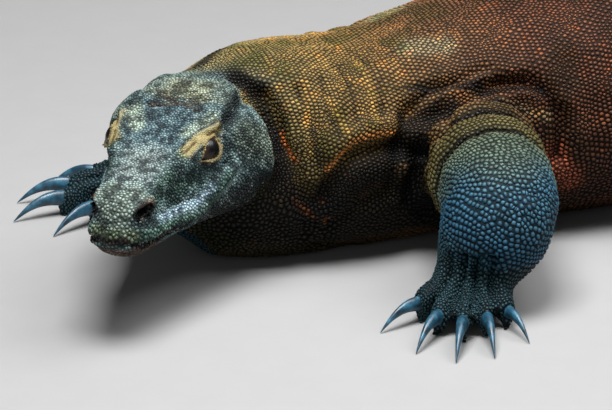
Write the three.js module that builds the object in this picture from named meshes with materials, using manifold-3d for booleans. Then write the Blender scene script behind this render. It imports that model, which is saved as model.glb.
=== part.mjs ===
// A life-size Komodo dragon lying on its belly, head raised and turned to its left.
// Millimetres, +Z up. The trunk lies along X with the head towards -X, the animal's left side is -Y,
// and the floor is z = 0.
import * as THREE from "three";
import { LoftGeometry } from "three/addons/geometries/LoftGeometry.js";
import { mergeVertices } from "three/addons/utils/BufferGeometryUtils.js";
import Module from "manifold-3d";

const wasm = await Module();
wasm.setup();

// Driving dimensions.
const gap = 0.3; // clearance between neighbouring pieces
const trunkLength = 760; // shoulder joints to hip joints
const shoulderX = -trunkLength / 2;
const hipX = trunkLength / 2;
const headLength = 222; // snout tip to the nape
const headTurn = 44; // degrees to the animal's left of the trunk
const headPitch = 4; // degrees nose down
const snoutTip = new THREE.Vector3(shoulderX - 363, -158, 90); // where the lips meet in front
const eyeRadius = 12;

const vec = (x, y, z) => new THREE.Vector3(x, y, z);
const radians = THREE.MathUtils.degToRad;

// ---------------------------------------------------------------- colours

const finish = (color, roughness) =>
  new THREE.MeshStandardMaterial({ color, roughness, metalness: 0, flatShading: true });
const finishes = {
  headHide: finish(0x5f7273, 0.6),
  neckHide: finish(0x7d6a48, 0.65),
  trunkHide: finish(0x7a4d33, 0.65),
  tailHide: finish(0x5d4a38, 0.65),
  limbHide: finish(0x3f5664, 0.55),
  claw: finish(0x3d5866, 0.3),
  eye: finish(0x1c120c, 0.1),
};

// ---------------------------------------------------------------- solids

/** A closed geometry as a manifold solid. */
function solid(geometry) {
  const bare = new THREE.BufferGeometry().copy(geometry);
  bare.deleteAttribute("normal");
  bare.deleteAttribute("uv");
  const merged = mergeVertices(bare, 1e-3);
  return new wasm.Manifold(
    new wasm.Mesh({
      numProp: 3,
      vertProperties: merged.attributes.position.array,
      triVerts: new Uint32Array(merged.index.array),
    }),
  );
}

/** Rings of points joined into a closed solid. They run counterclockwise, seen from the last ring. */
const loft = (rings) => solid(new LoftGeometry(rings, { capStart: true, capEnd: true }));

const cutBy = (shape, tools) => tools.reduce((left, tool) => left.subtract(tool), shape);
const union = (shapes) => shapes.reduce((all, shape) => all.add(shape));
const largestBody = (shape) =>
  shape.decompose().reduce((best, body) => (body.volume() > best.volume() ? body : best));

const dragon = new THREE.Group();
const floor = solid(new THREE.BoxGeometry(4000, 2000, 100).translate(0, 0, -50));

/** Adds a solid to the model as one named mesh, trimmed flat where it meets the floor. */
function addPiece(name, shape, material) {
  const { vertProperties, triVerts } = largestBody(shape.subtract(floor)).getMesh();
  const geometry = new THREE.BufferGeometry();
  geometry.setAttribute("position", new THREE.BufferAttribute(new Float32Array(vertProperties), 3));
  geometry.setIndex(new THREE.BufferAttribute(new Uint32Array(triVerts), 1));
  geometry.computeVertexNormals();
  const mesh = new THREE.Mesh(geometry, material);
  mesh.name = name;
  dragon.add(mesh);
}

// ---------------------------------------------------------------- lofted flesh

/** A row between the rows of a table: Hermite curves on every column, by the column "at". */
function rowAt(rows, at) {
  const last = rows.length - 1;
  const next = rows.findIndex((row) => row.at > at);
  const i = THREE.MathUtils.clamp((next < 0 ? last : next) - 1, 0, last - 1);
  const [a, b] = [rows[i], rows[i + 1]];
  const span = b.at - a.at;
  const t = THREE.MathUtils.clamp((at - a.at) / span, 0, 1);
  const slope = (key, k) => {
    const [p, q] = [rows[Math.max(0, k - 1)], rows[Math.min(last, k + 1)]];
    return ((q[key] - p[key]) / (q.at - p.at)) * span;
  };
  const found = { at };
  for (const key of Object.keys(a).filter((name) => name !== "at")) {
    found[key] =
      (2 * t ** 3 - 3 * t ** 2 + 1) * a[key] +
      (t ** 3 - 2 * t ** 2 + t) * slope(key, i) +
      (3 * t ** 2 - 2 * t ** 3) * b[key] +
      (t ** 3 - t ** 2) * slope(key, i + 1);
  }
  return found;
}

/** A value raised to a power, keeping its sign. */
const signedPower = (value, power) => Math.sign(value) * Math.abs(value) ** power;

/**
 * One ring of flesh, square to its path, or plumb if the style says so. A row gives the centre
 * x, y, z, the half width, the rise above the centre, the drop below it, and how square the oval is
 * (2 is an ellipse).
 */
function ring(rows, at, { up, sides, grow, plumb }, shrink = 1, shift = 0) {
  const step = (rows[rows.length - 1].at - rows[0].at) * 1e-3;
  const row = rowAt(rows, at);
  const [before, after] = [rowAt(rows, at - step), rowAt(rows, at + step)];
  const climb = plumb ? 0 : after.z - before.z;
  const along = vec(after.x - before.x, after.y - before.y, climb).normalize();
  const across = new THREE.Vector3().crossVectors(up, along).normalize();
  const upright = new THREE.Vector3().crossVectors(along, across);
  const power = 2 / (row.square ?? 2);
  return Array.from({ length: sides }, (_, k) => {
    const angle = (k / sides) * 2 * Math.PI;
    const rise = Math.sin(angle) > 0 ? row.above : row.below;
    return vec(row.x, row.y, row.z)
      .addScaledVector(along, shift)
      .addScaledVector(across, signedPower(Math.cos(angle), power) * (row.wide + grow) * shrink)
      .addScaledVector(upright, signedPower(Math.sin(angle), power) * (rise + grow) * shrink);
  });
}

/**
 * Flesh lofted through a table's rings from one "at" to another. An end is flat, or rounded by a
 * dome of the given length.
 */
function flesh(rows, options) {
  const { from = rows[0].at, to = rows[rows.length - 1].at, rings } = options;
  const { startDome = 0, endDome = 0 } = options;
  const style = { up: vec(0, 0, 1), grow: 0, ...options };
  const domeRing = (at, length, turn) => {
    const angle = radians(turn);
    return ring(rows, at, style, Math.cos(angle), length * Math.sin(angle));
  };
  const sections = [];
  if (startDome) for (const turn of [68, 33]) sections.push(domeRing(from, -startDome - style.grow, turn));
  for (let i = 0; i <= rings; i++) sections.push(ring(rows, from + ((to - from) * i) / rings, style));
  if (endDome) for (const turn of [33, 68]) sections.push(domeRing(to, endDome + style.grow, turn));
  return loft(sections);
}

// ---------------------------------------------------------------- neck, trunk and tail

// The spine's rings from nape to tail tip.
const spineRows = [
  { x: -612, y: -10, z: 100, wide: 50, above: 66, below: 72 },
  { x: -575, y: -8, z: 92, wide: 72, above: 84, below: 92 },
  { x: -520, y: -5, z: 88, wide: 90, above: 87, below: 94 },
  { x: -450, y: -2, z: 88, wide: 96, above: 83, below: 95 },
  { x: -380, y: 0, z: 92, wide: 105, above: 88, below: 98 },
  { x: -290, y: 0, z: 98, wide: 117, above: 99, below: 104 },
  { x: -150, y: 0, z: 105, wide: 134, above: 108, below: 112 },
  { x: 0, y: 0, z: 106, wide: 143, above: 110, below: 114 },
  { x: 180, y: 2, z: 103, wide: 136, above: 105, below: 110 },
  { x: 330, y: 6, z: 98, wide: 114, above: 98, below: 104 },
  { x: 420, y: 10, z: 91, wide: 94, above: 91, below: 96 },
  { x: 520, y: 18, z: 80, wide: 73, above: 81, below: 84 },
  { x: 680, y: 36, z: 64, wide: 53, above: 66, below: 68 },
  { x: 900, y: 60, z: 48, wide: 37, above: 51, below: 51 },
  { x: 1200, y: 60, z: 33, wide: 25, above: 37, below: 36 },
  { x: 1500, y: 10, z: 21, wide: 16, above: 25, below: 24 },
  { x: 1780, y: -70, z: 11, wide: 8, above: 13, below: 13 },
  { x: 1870, y: -105, z: 6, wide: 3.5, above: 5, below: 7 },
].map((row) => ({ at: row.x, square: 2.15, ...row }));

const spineLengths = [
  { name: "neck", from: -612, to: -420, rings: 6, startDome: 16, material: finishes.neckHide },
  { name: "trunk_front", from: -420, to: -60, rings: 6, material: finishes.trunkHide },
  { name: "trunk_rear", from: -60, to: 430, rings: 7, material: finishes.trunkHide },
  { name: "tail_base", from: 430, to: 760, rings: 5, material: finishes.tailHide },
  { name: "tail_middle", from: 760, to: 1120, rings: 4, material: finishes.tailHide },
  { name: "tail_rear", from: 1120, to: 1500, rings: 4, material: finishes.tailHide },
  { name: "tail_tip", from: 1500, to: 1870, rings: 4, endDome: 4, material: finishes.tailHide },
];

function spinePiece({ from, to, rings, startDome, endDome }, grow = 0) {
  const start = startDome ? from : from + gap / 2 - grow;
  const end = endDome ? to : to - gap / 2 + grow;
  return flesh(spineRows, { from: start, to: end, rings, sides: 18, startDome, endDome, grow });
}

// ---------------------------------------------------------------- head

// In the head's own frame x is forward from the snout tip, y is left, and z = 0 is the mouth line.
const headPose = new THREE.Matrix4()
  .makeRotationFromEuler(new THREE.Euler(0, radians(headPitch), radians(180 + headTurn), "ZYX"))
  .setPosition(snoutTip);
const inHead = (shape) => shape.transform(headPose.elements);

// Rings of the skull and jaw, by the distance behind the snout tip.
const headRows = [
  { at: 0.5, wide: 14, above: 11, below: 7 },
  { at: 6, wide: 23, above: 22, below: 12 },
  { at: 15, wide: 28, above: 31, below: 17 },
  { at: 30, wide: 31, above: 37, below: 21 },
  { at: 55, wide: 36, above: 41, below: 24 },
  { at: 85, wide: 44, above: 46, below: 28 },
  { at: 115, wide: 49, above: 52, below: 34 },
  { at: 150, wide: 58, above: 58, below: 42 },
  { at: 180, wide: 64, above: 62, below: 48 },
  { at: 205, wide: 62, above: 63, below: 51 },
  { at: headLength, wide: 54, above: 56, below: 50 },
  { at: headLength + 14, wide: 40, above: 42, below: 42 },
  { at: headLength + 20, wide: 22, above: 22, below: 24 },
];

// Swellings and hollows on each side of the head. An angle of 0 is the flank and 90 is the crown.
const headForms = [
  { name: "nostril swelling", at: 26, angle: 42, long: 13, broad: 20, high: 6 },
  { name: "hollow before the eye", at: 82, angle: 24, long: 22, broad: 16, high: -5 },
  { name: "brow", at: 114, angle: 47, long: 25, broad: 13, high: 12 },
  { name: "socket", at: 121, angle: 28, long: 17, broad: 12, high: -4 },
  { name: "crown between the brows", at: 108, angle: 90, long: 40, broad: 24, high: -5 },
  { name: "temple", at: 165, angle: 50, long: 30, broad: 24, high: 8 },
  { name: "jaw muscle", at: 182, angle: 2, long: 30, broad: 34, high: 8 },
];

function headSwelling(at, angle) {
  const flank = Math.abs(((angle + 270) % 360) - 180) - 90; // -90 under the chin, 90 on the crown
  return headForms.reduce((sum, form) => {
    const far = ((at - form.at) / form.long) ** 2 + ((flank - form.angle) / form.broad) ** 2;
    return sum + form.high * Math.exp(-far);
  }, 0);
}

function headFlesh(grow = 0) {
  const [rings, sides] = [16, 22];
  const last = headRows[headRows.length - 1].at;
  const sections = Array.from({ length: rings + 1 }, (_, i) => {
    const at = THREE.MathUtils.lerp(headRows[0].at, last, (i / rings) ** 1.35);
    const row = rowAt(headRows, at);
    return Array.from({ length: sides }, (_, k) => {
      const angle = (k / sides) * 360;
      const [out, rise] = [Math.cos(radians(angle)), Math.sin(radians(angle))];
      const swelling = headSwelling(at, angle) + grow;
      const high = rise > 0 ? row.above : row.below;
      return vec(
        -at,
        -signedPower(out, 0.85) * (row.wide + swelling),
        signedPower(rise, 0.85) * (high + swelling),
      );
    });
  });
  return loft(sections);
}

// The mouth line seen from the side: distance behind the snout tip, and height.
const mouthLine = [
  [-10, 0], [0, 0], [25, 0], [48, -2], [66, -1], [86, 5], [108, 13], [128, 19], [146, 24],
];

/** Everything below the mouth line and ahead of the jaw's corner, as a slab wider than the head. */
function belowMouth(rise) {
  const outline = new THREE.Shape();
  outline.moveTo(20, -150);
  for (const [at, z] of mouthLine) outline.lineTo(-at, z + rise);
  outline.lineTo(-166 - rise, -10);
  outline.lineTo(-190 - rise, -150);
  outline.closePath();
  const slab = new THREE.ExtrudeGeometry(outline, { depth: 240, bevelEnabled: false });
  return solid(slab.rotateX(Math.PI / 2).translate(0, 120, 0));
}

const onBothSides = (place) => [place, place.clone().multiply(vec(1, -1, 1))];
const eyeCentres = onBothSides(vec(-120, 36, 35));
const nostrilCentres = onBothSides(vec(-25, 31, 25));

function ball(centre, [long, broad, high]) {
  const shape = new THREE.SphereGeometry(1, 12, 7).scale(long, broad, high);
  return solid(shape.translate(centre.x, centre.y, centre.z));
}

// ---------------------------------------------------------------- legs

// Joints run from shoulder or hip by elbow or knee to wrist or ankle. The foot's heading is in degrees.
const legs = {
  fore_left: {
    side: 1,
    joints: [vec(shoulderX, -66, 96), vec(-412, -204, 84), vec(-438, -200, 32)],
    heading: -121,
    stretch: 1,
    arch: 1,
  },
  fore_right: {
    side: -1,
    joints: [vec(shoulderX, 66, 92), vec(-472, 150, 58), vec(-558, 122, 32)],
    heading: 179,
    stretch: 1.5,
    arch: 0.75,
  },
  hind_left: {
    side: 1,
    joints: [vec(hipX - 20, -55, 98), vec(hipX - 105, -205, 108), vec(hipX - 45, -262, 36)],
    heading: -128,
    stretch: 1,
    arch: 0.8,
  },
  hind_right: {
    side: -1,
    joints: [vec(hipX - 20, 60, 96), vec(hipX - 40, 228, 98), vec(hipX + 55, 262, 34)],
    heading: 112,
    stretch: 1,
    arch: 0.8,
  },
};

const foreSizes = {
  names: ["upper_arm", "forearm", "hand"],
  upper: [48, 50, 50, 46],
  lower: [45, 47, 42, 34],
  palm: { length: 34, wide: [33, 37], thick: [30, 20] },
  digits: [
    { turn: -44, length: 56, thick: 10, claw: 38 },
    { turn: -18, length: 68, thick: 10.5, claw: 41 },
    { turn: -1, length: 75, thick: 10.5, claw: 42 },
    { turn: 14, length: 67, thick: 10.5, claw: 41 },
    { turn: 34, length: 54, thick: 9.5, claw: 34 },
  ],
};
const hindSizes = {
  names: ["thigh", "shank", "foot"],
  upper: [74, 68, 57, 48],
  lower: [47, 51, 41, 31],
  palm: { length: 62, wide: [31, 40], thick: [29, 19] },
  digits: [
    { turn: -36, length: 96, thick: 10, claw: 34 },
    { turn: -19, length: 124, thick: 10.5, claw: 37 },
    { turn: -3, length: 144, thick: 11, claw: 38 },
    { turn: 12, length: 150, thick: 11, claw: 38 },
    { turn: 44, length: 100, thick: 9.5, claw: 33 },
  ],
};

/** A leg segment's table: its half widths spread evenly from joint to joint. */
function segmentRows(start, end, widths) {
  return widths.map((wide, k) => {
    const at = k / (widths.length - 1);
    const { x, y, z } = start.clone().lerp(end, at);
    return { at, x, y, z, wide, above: wide, below: wide };
  });
}

/** The table of a toe or claw that leaves a place on a heading, with heights and radii on the way. */
function archRows(start, turn, reach, heights, radii, flat) {
  return heights.map((z, k) => {
    const at = k / (heights.length - 1);
    const [x, y] = [start.x + Math.cos(turn) * reach * at, start.y + Math.sin(turn) * reach * at];
    return { at, x, y, z, wide: radii[k] * flat, above: radii[k], below: radii[k] };
  });
}

/** The toes of a foot: where each one starts, its heading in radians, and its size. */
function toesOf({ side, joints, heading, stretch, arch }, sizes) {
  const wrist = joints[2];
  return sizes.digits.map((digit) => {
    const turn = radians(heading + side * digit.turn);
    const spread = radians(heading + side * digit.turn * 1.25);
    const palmReach = sizes.palm.length * 0.8;
    return {
      start: wrist.clone().add(vec(Math.cos(spread) * palmReach, Math.sin(spread) * palmReach, 0)),
      turn,
      reach: (digit.length - palmReach) * stretch + palmReach * (stretch - 1),
      thick: digit.thick,
      claw: digit.claw,
      arch,
    };
  });
}

function toeFlesh({ start, turn, reach, thick, arch }) {
  const rise = thick * arch;
  const heights = [thick + rise * 0.9, thick + rise * 1.3, thick + rise * 1.1, thick + rise * 0.5];
  const radii = [thick * 1.15, thick * 1.1, thick, thick * 0.85];
  const rows = archRows(start, turn, reach, heights, radii, 1);
  rows[2].below = rows[2].z;
  rows[3].below = rows[3].z * 1.25; // the pad under the claw is flat on the floor
  return flesh(rows, { rings: 3, sides: 6, plumb: true });
}

function clawHorn({ start, turn, reach, thick, claw, arch }) {
  const root = start.clone().add(vec(Math.cos(turn) * (reach + gap), Math.sin(turn) * (reach + gap), 0));
  const high = thick * (1 + arch * 0.5);
  const heights = [high, high * 1.05, high * 0.62, 1];
  const radii = [thick * 0.6, thick * 0.55, thick * 0.36, 0.8];
  return flesh(archRows(root, turn, claw, heights, radii, 0.8), { rings: 4, sides: 6, plumb: true });
}

function palmFlesh({ joints, heading, stretch }, { palm }) {
  const wrist = joints[2];
  const turn = radians(heading);
  const rows = [0, 0.5, 1].map((at) => {
    const reach = palm.length * stretch * at;
    const thick = THREE.MathUtils.lerp(...palm.thick, at);
    return {
      at,
      x: wrist.x + Math.cos(turn) * reach,
      y: wrist.y + Math.sin(turn) * reach,
      z: THREE.MathUtils.lerp(wrist.z, palm.thick[1] * 0.86, at ** 0.7),
      wide: THREE.MathUtils.lerp(...palm.wide, at),
      above: thick,
      below: thick,
    };
  });
  return flesh(rows, { rings: 2, sides: 10, startDome: 18, endDome: 12 });
}

/** Builds one leg: two segments, a foot with its toes, and five claws. */
function addLeg(name, leg, sizes, body) {
  const [root, middle, wrist] = leg.joints;
  const [upperName, lowerName, footName] = sizes.names;
  const fold = new THREE.Vector3().crossVectors(middle.clone().sub(root), wrist.clone().sub(middle));
  const style = { up: fold.normalize(), rings: 3, sides: 12 };
  const upper = (grow) =>
    flesh(segmentRows(root, middle, sizes.upper), {
      ...style,
      startDome: 30,
      endDome: sizes.upper[3] * 0.75,
      grow,
    });
  const lower = (grow) =>
    flesh(segmentRows(middle, wrist, sizes.lower), {
      ...style,
      startDome: sizes.lower[0] * 0.8,
      endDome: sizes.lower[3] * 0.5,
      grow,
    });
  const toes = toesOf(leg, sizes);
  const foot = union([palmFlesh(leg, sizes), ...toes.map(toeFlesh)]);
  const grownUpper = upper(gap);
  addPiece(`${upperName}_${name}`, cutBy(upper(0), body), finishes.limbHide);
  addPiece(`${lowerName}_${name}`, cutBy(lower(0), [grownUpper, ...body]), finishes.limbHide);
  addPiece(`${footName}_${name}`, cutBy(foot, [lower(gap), grownUpper]), finishes.limbHide);
  toes.forEach((toe, k) => addPiece(`claw_${name}_${k + 1}`, clawHorn(toe), finishes.claw));
}

// ---------------------------------------------------------------- assembly

const wholeHead = headFlesh();
const sockets = eyeCentres.map((at) => ball(at, Array(3).fill(eyeRadius + gap)));
const nostrils = nostrilCentres.map((at) => ball(at, [6, 7, 4]));
const jaw = wholeHead.intersect(belowMouth(-gap / 2));
const upperHead = cutBy(wholeHead.subtract(belowMouth(gap / 2)), [...sockets, ...nostrils]);

const grownHead = inHead(headFlesh(gap * 1.5));

addPiece("head", inHead(upperHead), finishes.headHide);
addPiece("lower_jaw", inHead(jaw), finishes.headHide);
for (const [k, side] of ["left", "right"].entries()) {
  addPiece(`eye_${side}`, inHead(ball(eyeCentres[k], Array(3).fill(eyeRadius))), finishes.eye);
}
for (const part of spineLengths) {
  const tools = part.name === "neck" ? [grownHead] : [];
  addPiece(part.name, cutBy(spinePiece(part), tools), part.material);
}
for (const [name, leg] of Object.entries(legs)) {
  const isFore = name.startsWith("fore");
  const body = isFore ? spineLengths.slice(0, 2) : spineLengths.slice(2, 4);
  addLeg(name, leg, isFore ? foreSizes : hindSizes, body.map((part) => spinePiece(part, gap)));
}

// The origin is the middle of the ground that the animal covers.
const bounds = new THREE.Box3().setFromObject(dragon);
const middle = bounds.getCenter(new THREE.Vector3());
dragon.position.set(-middle.x, -middle.y, -bounds.min.z);

export default dragon;
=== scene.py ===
import math

import bpy
import numpy as np
from mathutils import Matrix, Vector
from mathutils.bvhtree import BVHTree
from mathutils.kdtree import KDTree


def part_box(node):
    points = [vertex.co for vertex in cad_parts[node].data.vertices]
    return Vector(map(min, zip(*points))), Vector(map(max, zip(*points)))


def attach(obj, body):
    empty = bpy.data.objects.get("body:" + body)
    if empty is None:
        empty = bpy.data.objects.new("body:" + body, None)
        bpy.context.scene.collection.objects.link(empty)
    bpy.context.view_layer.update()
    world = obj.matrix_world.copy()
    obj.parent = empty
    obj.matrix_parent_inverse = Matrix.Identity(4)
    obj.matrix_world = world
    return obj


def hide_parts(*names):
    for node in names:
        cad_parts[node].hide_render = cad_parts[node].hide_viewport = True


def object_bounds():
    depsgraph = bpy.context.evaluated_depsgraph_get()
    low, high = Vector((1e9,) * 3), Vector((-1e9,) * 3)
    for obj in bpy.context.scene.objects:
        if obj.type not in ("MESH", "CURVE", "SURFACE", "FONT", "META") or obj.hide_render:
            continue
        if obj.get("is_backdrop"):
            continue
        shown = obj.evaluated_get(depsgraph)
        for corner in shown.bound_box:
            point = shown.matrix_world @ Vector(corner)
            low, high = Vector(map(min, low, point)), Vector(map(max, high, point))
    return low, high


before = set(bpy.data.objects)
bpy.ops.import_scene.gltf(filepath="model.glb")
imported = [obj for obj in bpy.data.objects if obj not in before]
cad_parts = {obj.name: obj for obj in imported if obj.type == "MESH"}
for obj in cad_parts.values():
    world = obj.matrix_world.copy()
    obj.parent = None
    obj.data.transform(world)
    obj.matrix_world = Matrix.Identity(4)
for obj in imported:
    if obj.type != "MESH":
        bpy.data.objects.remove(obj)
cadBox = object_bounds()
bpy.ops.object.select_all(action="DESELECT")
dice = np.random.default_rng(11)
mm = 0.001  # the tables below are in millimetres


# Places on the animal. The head's own frame runs x forward from the snout tip, y left, z up from the lips.
headLay = {"eye": (-120, 36, 35), "pitch": 4, "snoutInPart": (-743, -158, 90)}


def nodeMiddle(node):
    low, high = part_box(node)
    return (low + high) / 2


def headMatrix():
    eyes = [nodeMiddle("eye_left"), nodeMiddle("eye_right")]
    left = (eyes[0] - eyes[1]).normalized()
    level = left.cross(Vector((0, 0, 1)))
    forward = Matrix.Rotation(math.radians(headLay["pitch"]), 3, left) @ level
    turn = Matrix((forward, left, forward.cross(left))).transposed()
    between = Vector((headLay["eye"][0], 0, headLay["eye"][2])) * mm
    snout = (eyes[0] + eyes[1]) / 2 - turn @ between
    return Matrix.Translation(snout) @ turn.to_4x4()


headFrame = headMatrix()
headTurn, headPlace = np.array(headFrame.to_3x3()), np.array(headFrame.translation)
partOrigin = headFrame.translation - Vector(headLay["snoutInPart"]) * mm


def inPart(x, y, z):
    return partOrigin + Vector((x, y, z)) * mm


def toHead(points):
    places = (points - headPlace) @ headTurn / mm
    places[:, 1] -= snoutTurn(places[:, 0])
    return places


def fromHead(places):
    bent = places.copy()
    bent[:, 1] += snoutTurn(places[:, 0])
    return (bent * mm) @ headTurn.T + headPlace


def snoutTurn(x):
    return 3.6 * smoothStep(-110, 5, x)


def toPart(points):
    return (points - np.array(partOrigin)) / mm


def smoothStep(low, high, value):
    t = np.clip((value - low) / (high - low), 0, 1)
    return t * t * (3 - 2 * t)


# Centre line, half width and half height of the body, station by station from nape to tail tip.
spine = {
    "x": [-612, -575, -520, -450, -380, -290, -150, 0, 180, 330, 420, 520, 680, 900, 1200, 1500, 1780, 1870],
    "y": [-10, -8, -5, -2, 0, 0, 0, 0, 2, 6, 10, 18, 36, 60, 60, 10, -70, -105],
    "z": [100, 92, 88, 88, 92, 98, 105, 106, 103, 98, 91, 80, 64, 48, 33, 21, 11, 6],
    "wide": [50, 72, 90, 96, 105, 117, 134, 143, 136, 114, 94, 73, 53, 37, 25, 16, 8, 3.5],
    "high": [69, 88, 91, 89, 94, 102, 110, 112, 108, 101, 94, 83, 67, 51, 36, 24, 13, 5],
}
# Shoulder or hip, elbow or knee, and wrist or ankle, the widths along them, and where the foot points.
legs = {
    "fore_left": {"side": 1, "joints": [(-380, -66, 96), (-412, -204, 84), (-438, -200, 32)],
                  "heading": -121, "stretch": 1, "kind": "fore"},
    "fore_right": {"side": -1, "joints": [(-380, 66, 92), (-472, 150, 58), (-558, 122, 32)],
                   "heading": 179, "stretch": 1.5, "kind": "fore"},
    "hind_left": {"side": 1, "joints": [(360, -55, 98), (275, -205, 108), (335, -262, 36)],
                  "heading": -128, "stretch": 1, "kind": "hind"},
    "hind_right": {"side": -1, "joints": [(360, 60, 96), (340, 228, 98), (435, 262, 34)],
                   "heading": 112, "stretch": 1, "kind": "hind"},
}
foreLegs = ("fore_left", "fore_right")
footKinds = {
    "fore": {"upper": [48, 50, 50, 46], "lower": [45, 47, 42, 34], "palm": 34,
             "turns": [-44, -18, -1, 14, 34], "lengths": [56, 68, 75, 67, 54],
             "names": ["upper_arm", "forearm", "hand"]},
    "hind": {"upper": [74, 68, 57, 48], "lower": [47, 51, 41, 31], "palm": 62,
             "turns": [-36, -19, -3, 12, 44], "lengths": [96, 124, 144, 150, 100],
             "names": ["thigh", "shank", "foot"]},
}


def spineAt(x, key):
    return np.interp(x, spine["x"], spine[key])


def activate(obj):
    bpy.ops.object.select_all(action="DESELECT")
    obj.select_set(True)
    bpy.context.view_layer.objects.active = obj


def applyModifier(obj, kind, **settings):
    activate(obj)
    modifier = obj.modifiers.new(kind.title(), kind)
    for key, value in settings.items():
        setattr(modifier, key, value)
    bpy.ops.object.modifier_apply(modifier=modifier.name)


def editWhole(obj, step, **settings):
    activate(obj)
    bpy.ops.object.mode_set(mode="EDIT")
    bpy.ops.mesh.select_all(action="SELECT")
    step(**settings)
    bpy.ops.object.mode_set(mode="OBJECT")


def coordsOf(mesh):
    flat = np.empty(len(mesh.vertices) * 3)
    mesh.vertices.foreach_get("co", flat)
    return flat.reshape(-1, 3)


def normalsOf(mesh):
    flat = np.empty(len(mesh.vertices) * 3)
    mesh.vertex_normals.foreach_get("vector", flat)
    return flat.reshape(-1, 3)


def setCoords(mesh, coords):
    mesh.vertices.foreach_set("co", coords.astype(np.float32).ravel())
    mesh.update()


# The skin: one closed surface over all the flesh, shaped with strokes as clay is.
skinStyle = {"voxel": 5, "soften": 8, "headSoften": 4, "headReach": -236, "coatDepth": 1.0, "kept": 0.47}


def joinedCopies(nodes, name):
    copies = []
    for node in nodes:
        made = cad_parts[node].copy()
        made.data = made.data.copy()
        made.parent = None
        for key in list(made.keys()):
            del made[key]
        bpy.context.collection.objects.link(made)
        copies.append(made)
    activate(copies[0])
    for made in copies:
        made.select_set(True)
    bpy.ops.object.join()
    copies[0].name = name
    copies[0].data.name = name
    copies[0].data.materials.clear()
    editWhole(copies[0], bpy.ops.mesh.remove_doubles, threshold=1e-5)
    return copies[0]


def keepLargestShell(obj):
    editWhole(obj, bpy.ops.mesh.separate, type="LOOSE")
    shells = sorted(bpy.context.selected_objects, key=lambda shell: -len(shell.data.vertices))
    for extra in shells[1:]:
        bpy.data.objects.remove(extra)
    return shells[0]


def softenCoords(mesh, rounds, weights):
    pairs = np.empty(len(mesh.edges) * 2, dtype=np.int64)
    mesh.edges.foreach_get("vertices", pairs)
    first, second = pairs.reshape(-1, 2).T
    count = len(mesh.vertices)
    degree = np.bincount(first, minlength=count) + np.bincount(second, minlength=count)
    coords = coordsOf(mesh)
    for push in (0.6, -0.62) * rounds:  # out again after each pass, so that the volume stays
        mean = np.empty_like(coords)
        for axis in range(3):
            mean[:, axis] = (np.bincount(first, coords[second, axis], count)
                             + np.bincount(second, coords[first, axis], count)) / degree
        coords += (mean - coords) * (push * weights)[:, None]
    setCoords(mesh, coords)


def subdivideWhere(obj, chosen):
    mesh = obj.data
    activate(obj)
    bpy.ops.object.mode_set(mode="EDIT")
    bpy.ops.mesh.select_all(action="DESELECT")
    bpy.ops.object.mode_set(mode="OBJECT")
    inside = np.empty(len(mesh.polygons) * 3)
    mesh.polygons.foreach_get("center", inside)
    mesh.polygons.foreach_set("select", chosen(inside.reshape(-1, 3)))
    bpy.ops.object.mode_set(mode="EDIT")
    bpy.ops.mesh.select_mode(type="FACE")
    bpy.ops.mesh.subdivide(number_cuts=1)
    bpy.ops.mesh.select_all(action="DESELECT")
    bpy.ops.object.mode_set(mode="OBJECT")


def onHead(points, reach=skinStyle["headReach"]):
    x, y, z = toHead(points).T
    return (x > reach) & (x < 20) & (np.abs(y) < 85) & (z > -80) & (z < 90)


def jointsInWorld(name):
    return [np.array(inPart(*joint)) for joint in legs[name]["joints"]]


def footWeight(points):
    wrists = [jointsInWorld(name)[2] for name in legs]
    nearest = np.minimum.reduce([np.linalg.norm(points - wrist, axis=1) for wrist in wrists])
    return smoothStep(0.16, 0.07, nearest) * smoothStep(0.09, 0.06, points[:, 2])


def upperArm(points, name):
    joints = jointsInWorld(name)
    line = joints[1] - joints[0]
    share = (points - joints[0]) @ line / (line @ line)
    off = np.linalg.norm(points - joints[0] - share[:, None] * line, axis=1)
    return share, smoothStep(0.082, 0.066, off) * smoothStep(-0.1, 0.1, share) * smoothStep(1.15, 0.95, share)


def onUpperArms(points):
    return sum(upperArm(points, name)[1] for name in foreLegs) > 0


def onFeet(points):
    near = np.zeros(len(points), bool)
    for name in legs:
        reach = 0.115 if name in foreLegs else 0.19
        flat = (points - jointsInWorld(name)[2])[:, :2]
        near |= (np.linalg.norm(flat, axis=1) < reach) & (points[:, 2] < 0.06)
    return near


def makeSkin():
    flesh = [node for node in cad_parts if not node.startswith("claw_")]
    skin = joinedCopies(flesh, "skin")
    applyModifier(skin, "REMESH", mode="VOXEL", voxel_size=skinStyle["voxel"] * mm)
    skin = keepLargestShell(skin)
    skin.name = "skin"
    mesh = skin.data
    softenCoords(mesh, skinStyle["soften"], 1 - 0.75 * footWeight(coordsOf(mesh)))
    for chosen in (onHead, onFeet, onUpperArms):
        subdivideWhere(skin, chosen)
    softenCoords(mesh, skinStyle["headSoften"], onHead(coordsOf(mesh)).astype(float))
    print("skin:", len(mesh.vertices), "points")
    return skin


skin = makeSkin()


# The camera, the floor and the soft light of a studio.
stageLay = {"target": (-550.7, -119.2, 78.4), "azimuth": -24, "elevation": 22, "distance": 5, "lens": 361.8}


def makeCamera():
    target = inPart(*stageLay["target"])
    turn, rise = math.radians(stageLay["azimuth"]), math.radians(stageLay["elevation"])
    back = Vector((math.sin(turn) * math.cos(rise), -math.cos(turn) * math.cos(rise), math.sin(rise)))
    bpy.ops.object.camera_add(location=target + back * stageLay["distance"])
    camera = bpy.context.object
    camera.name = "camera"
    camera.rotation_euler = back.to_track_quat("Z", "Y").to_euler()
    camera.data.lens = stageLay["lens"]
    camera.data.sensor_width = 36
    camera.data.dof.use_dof = False
    bpy.context.scene.camera = camera


makeCamera()


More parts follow.
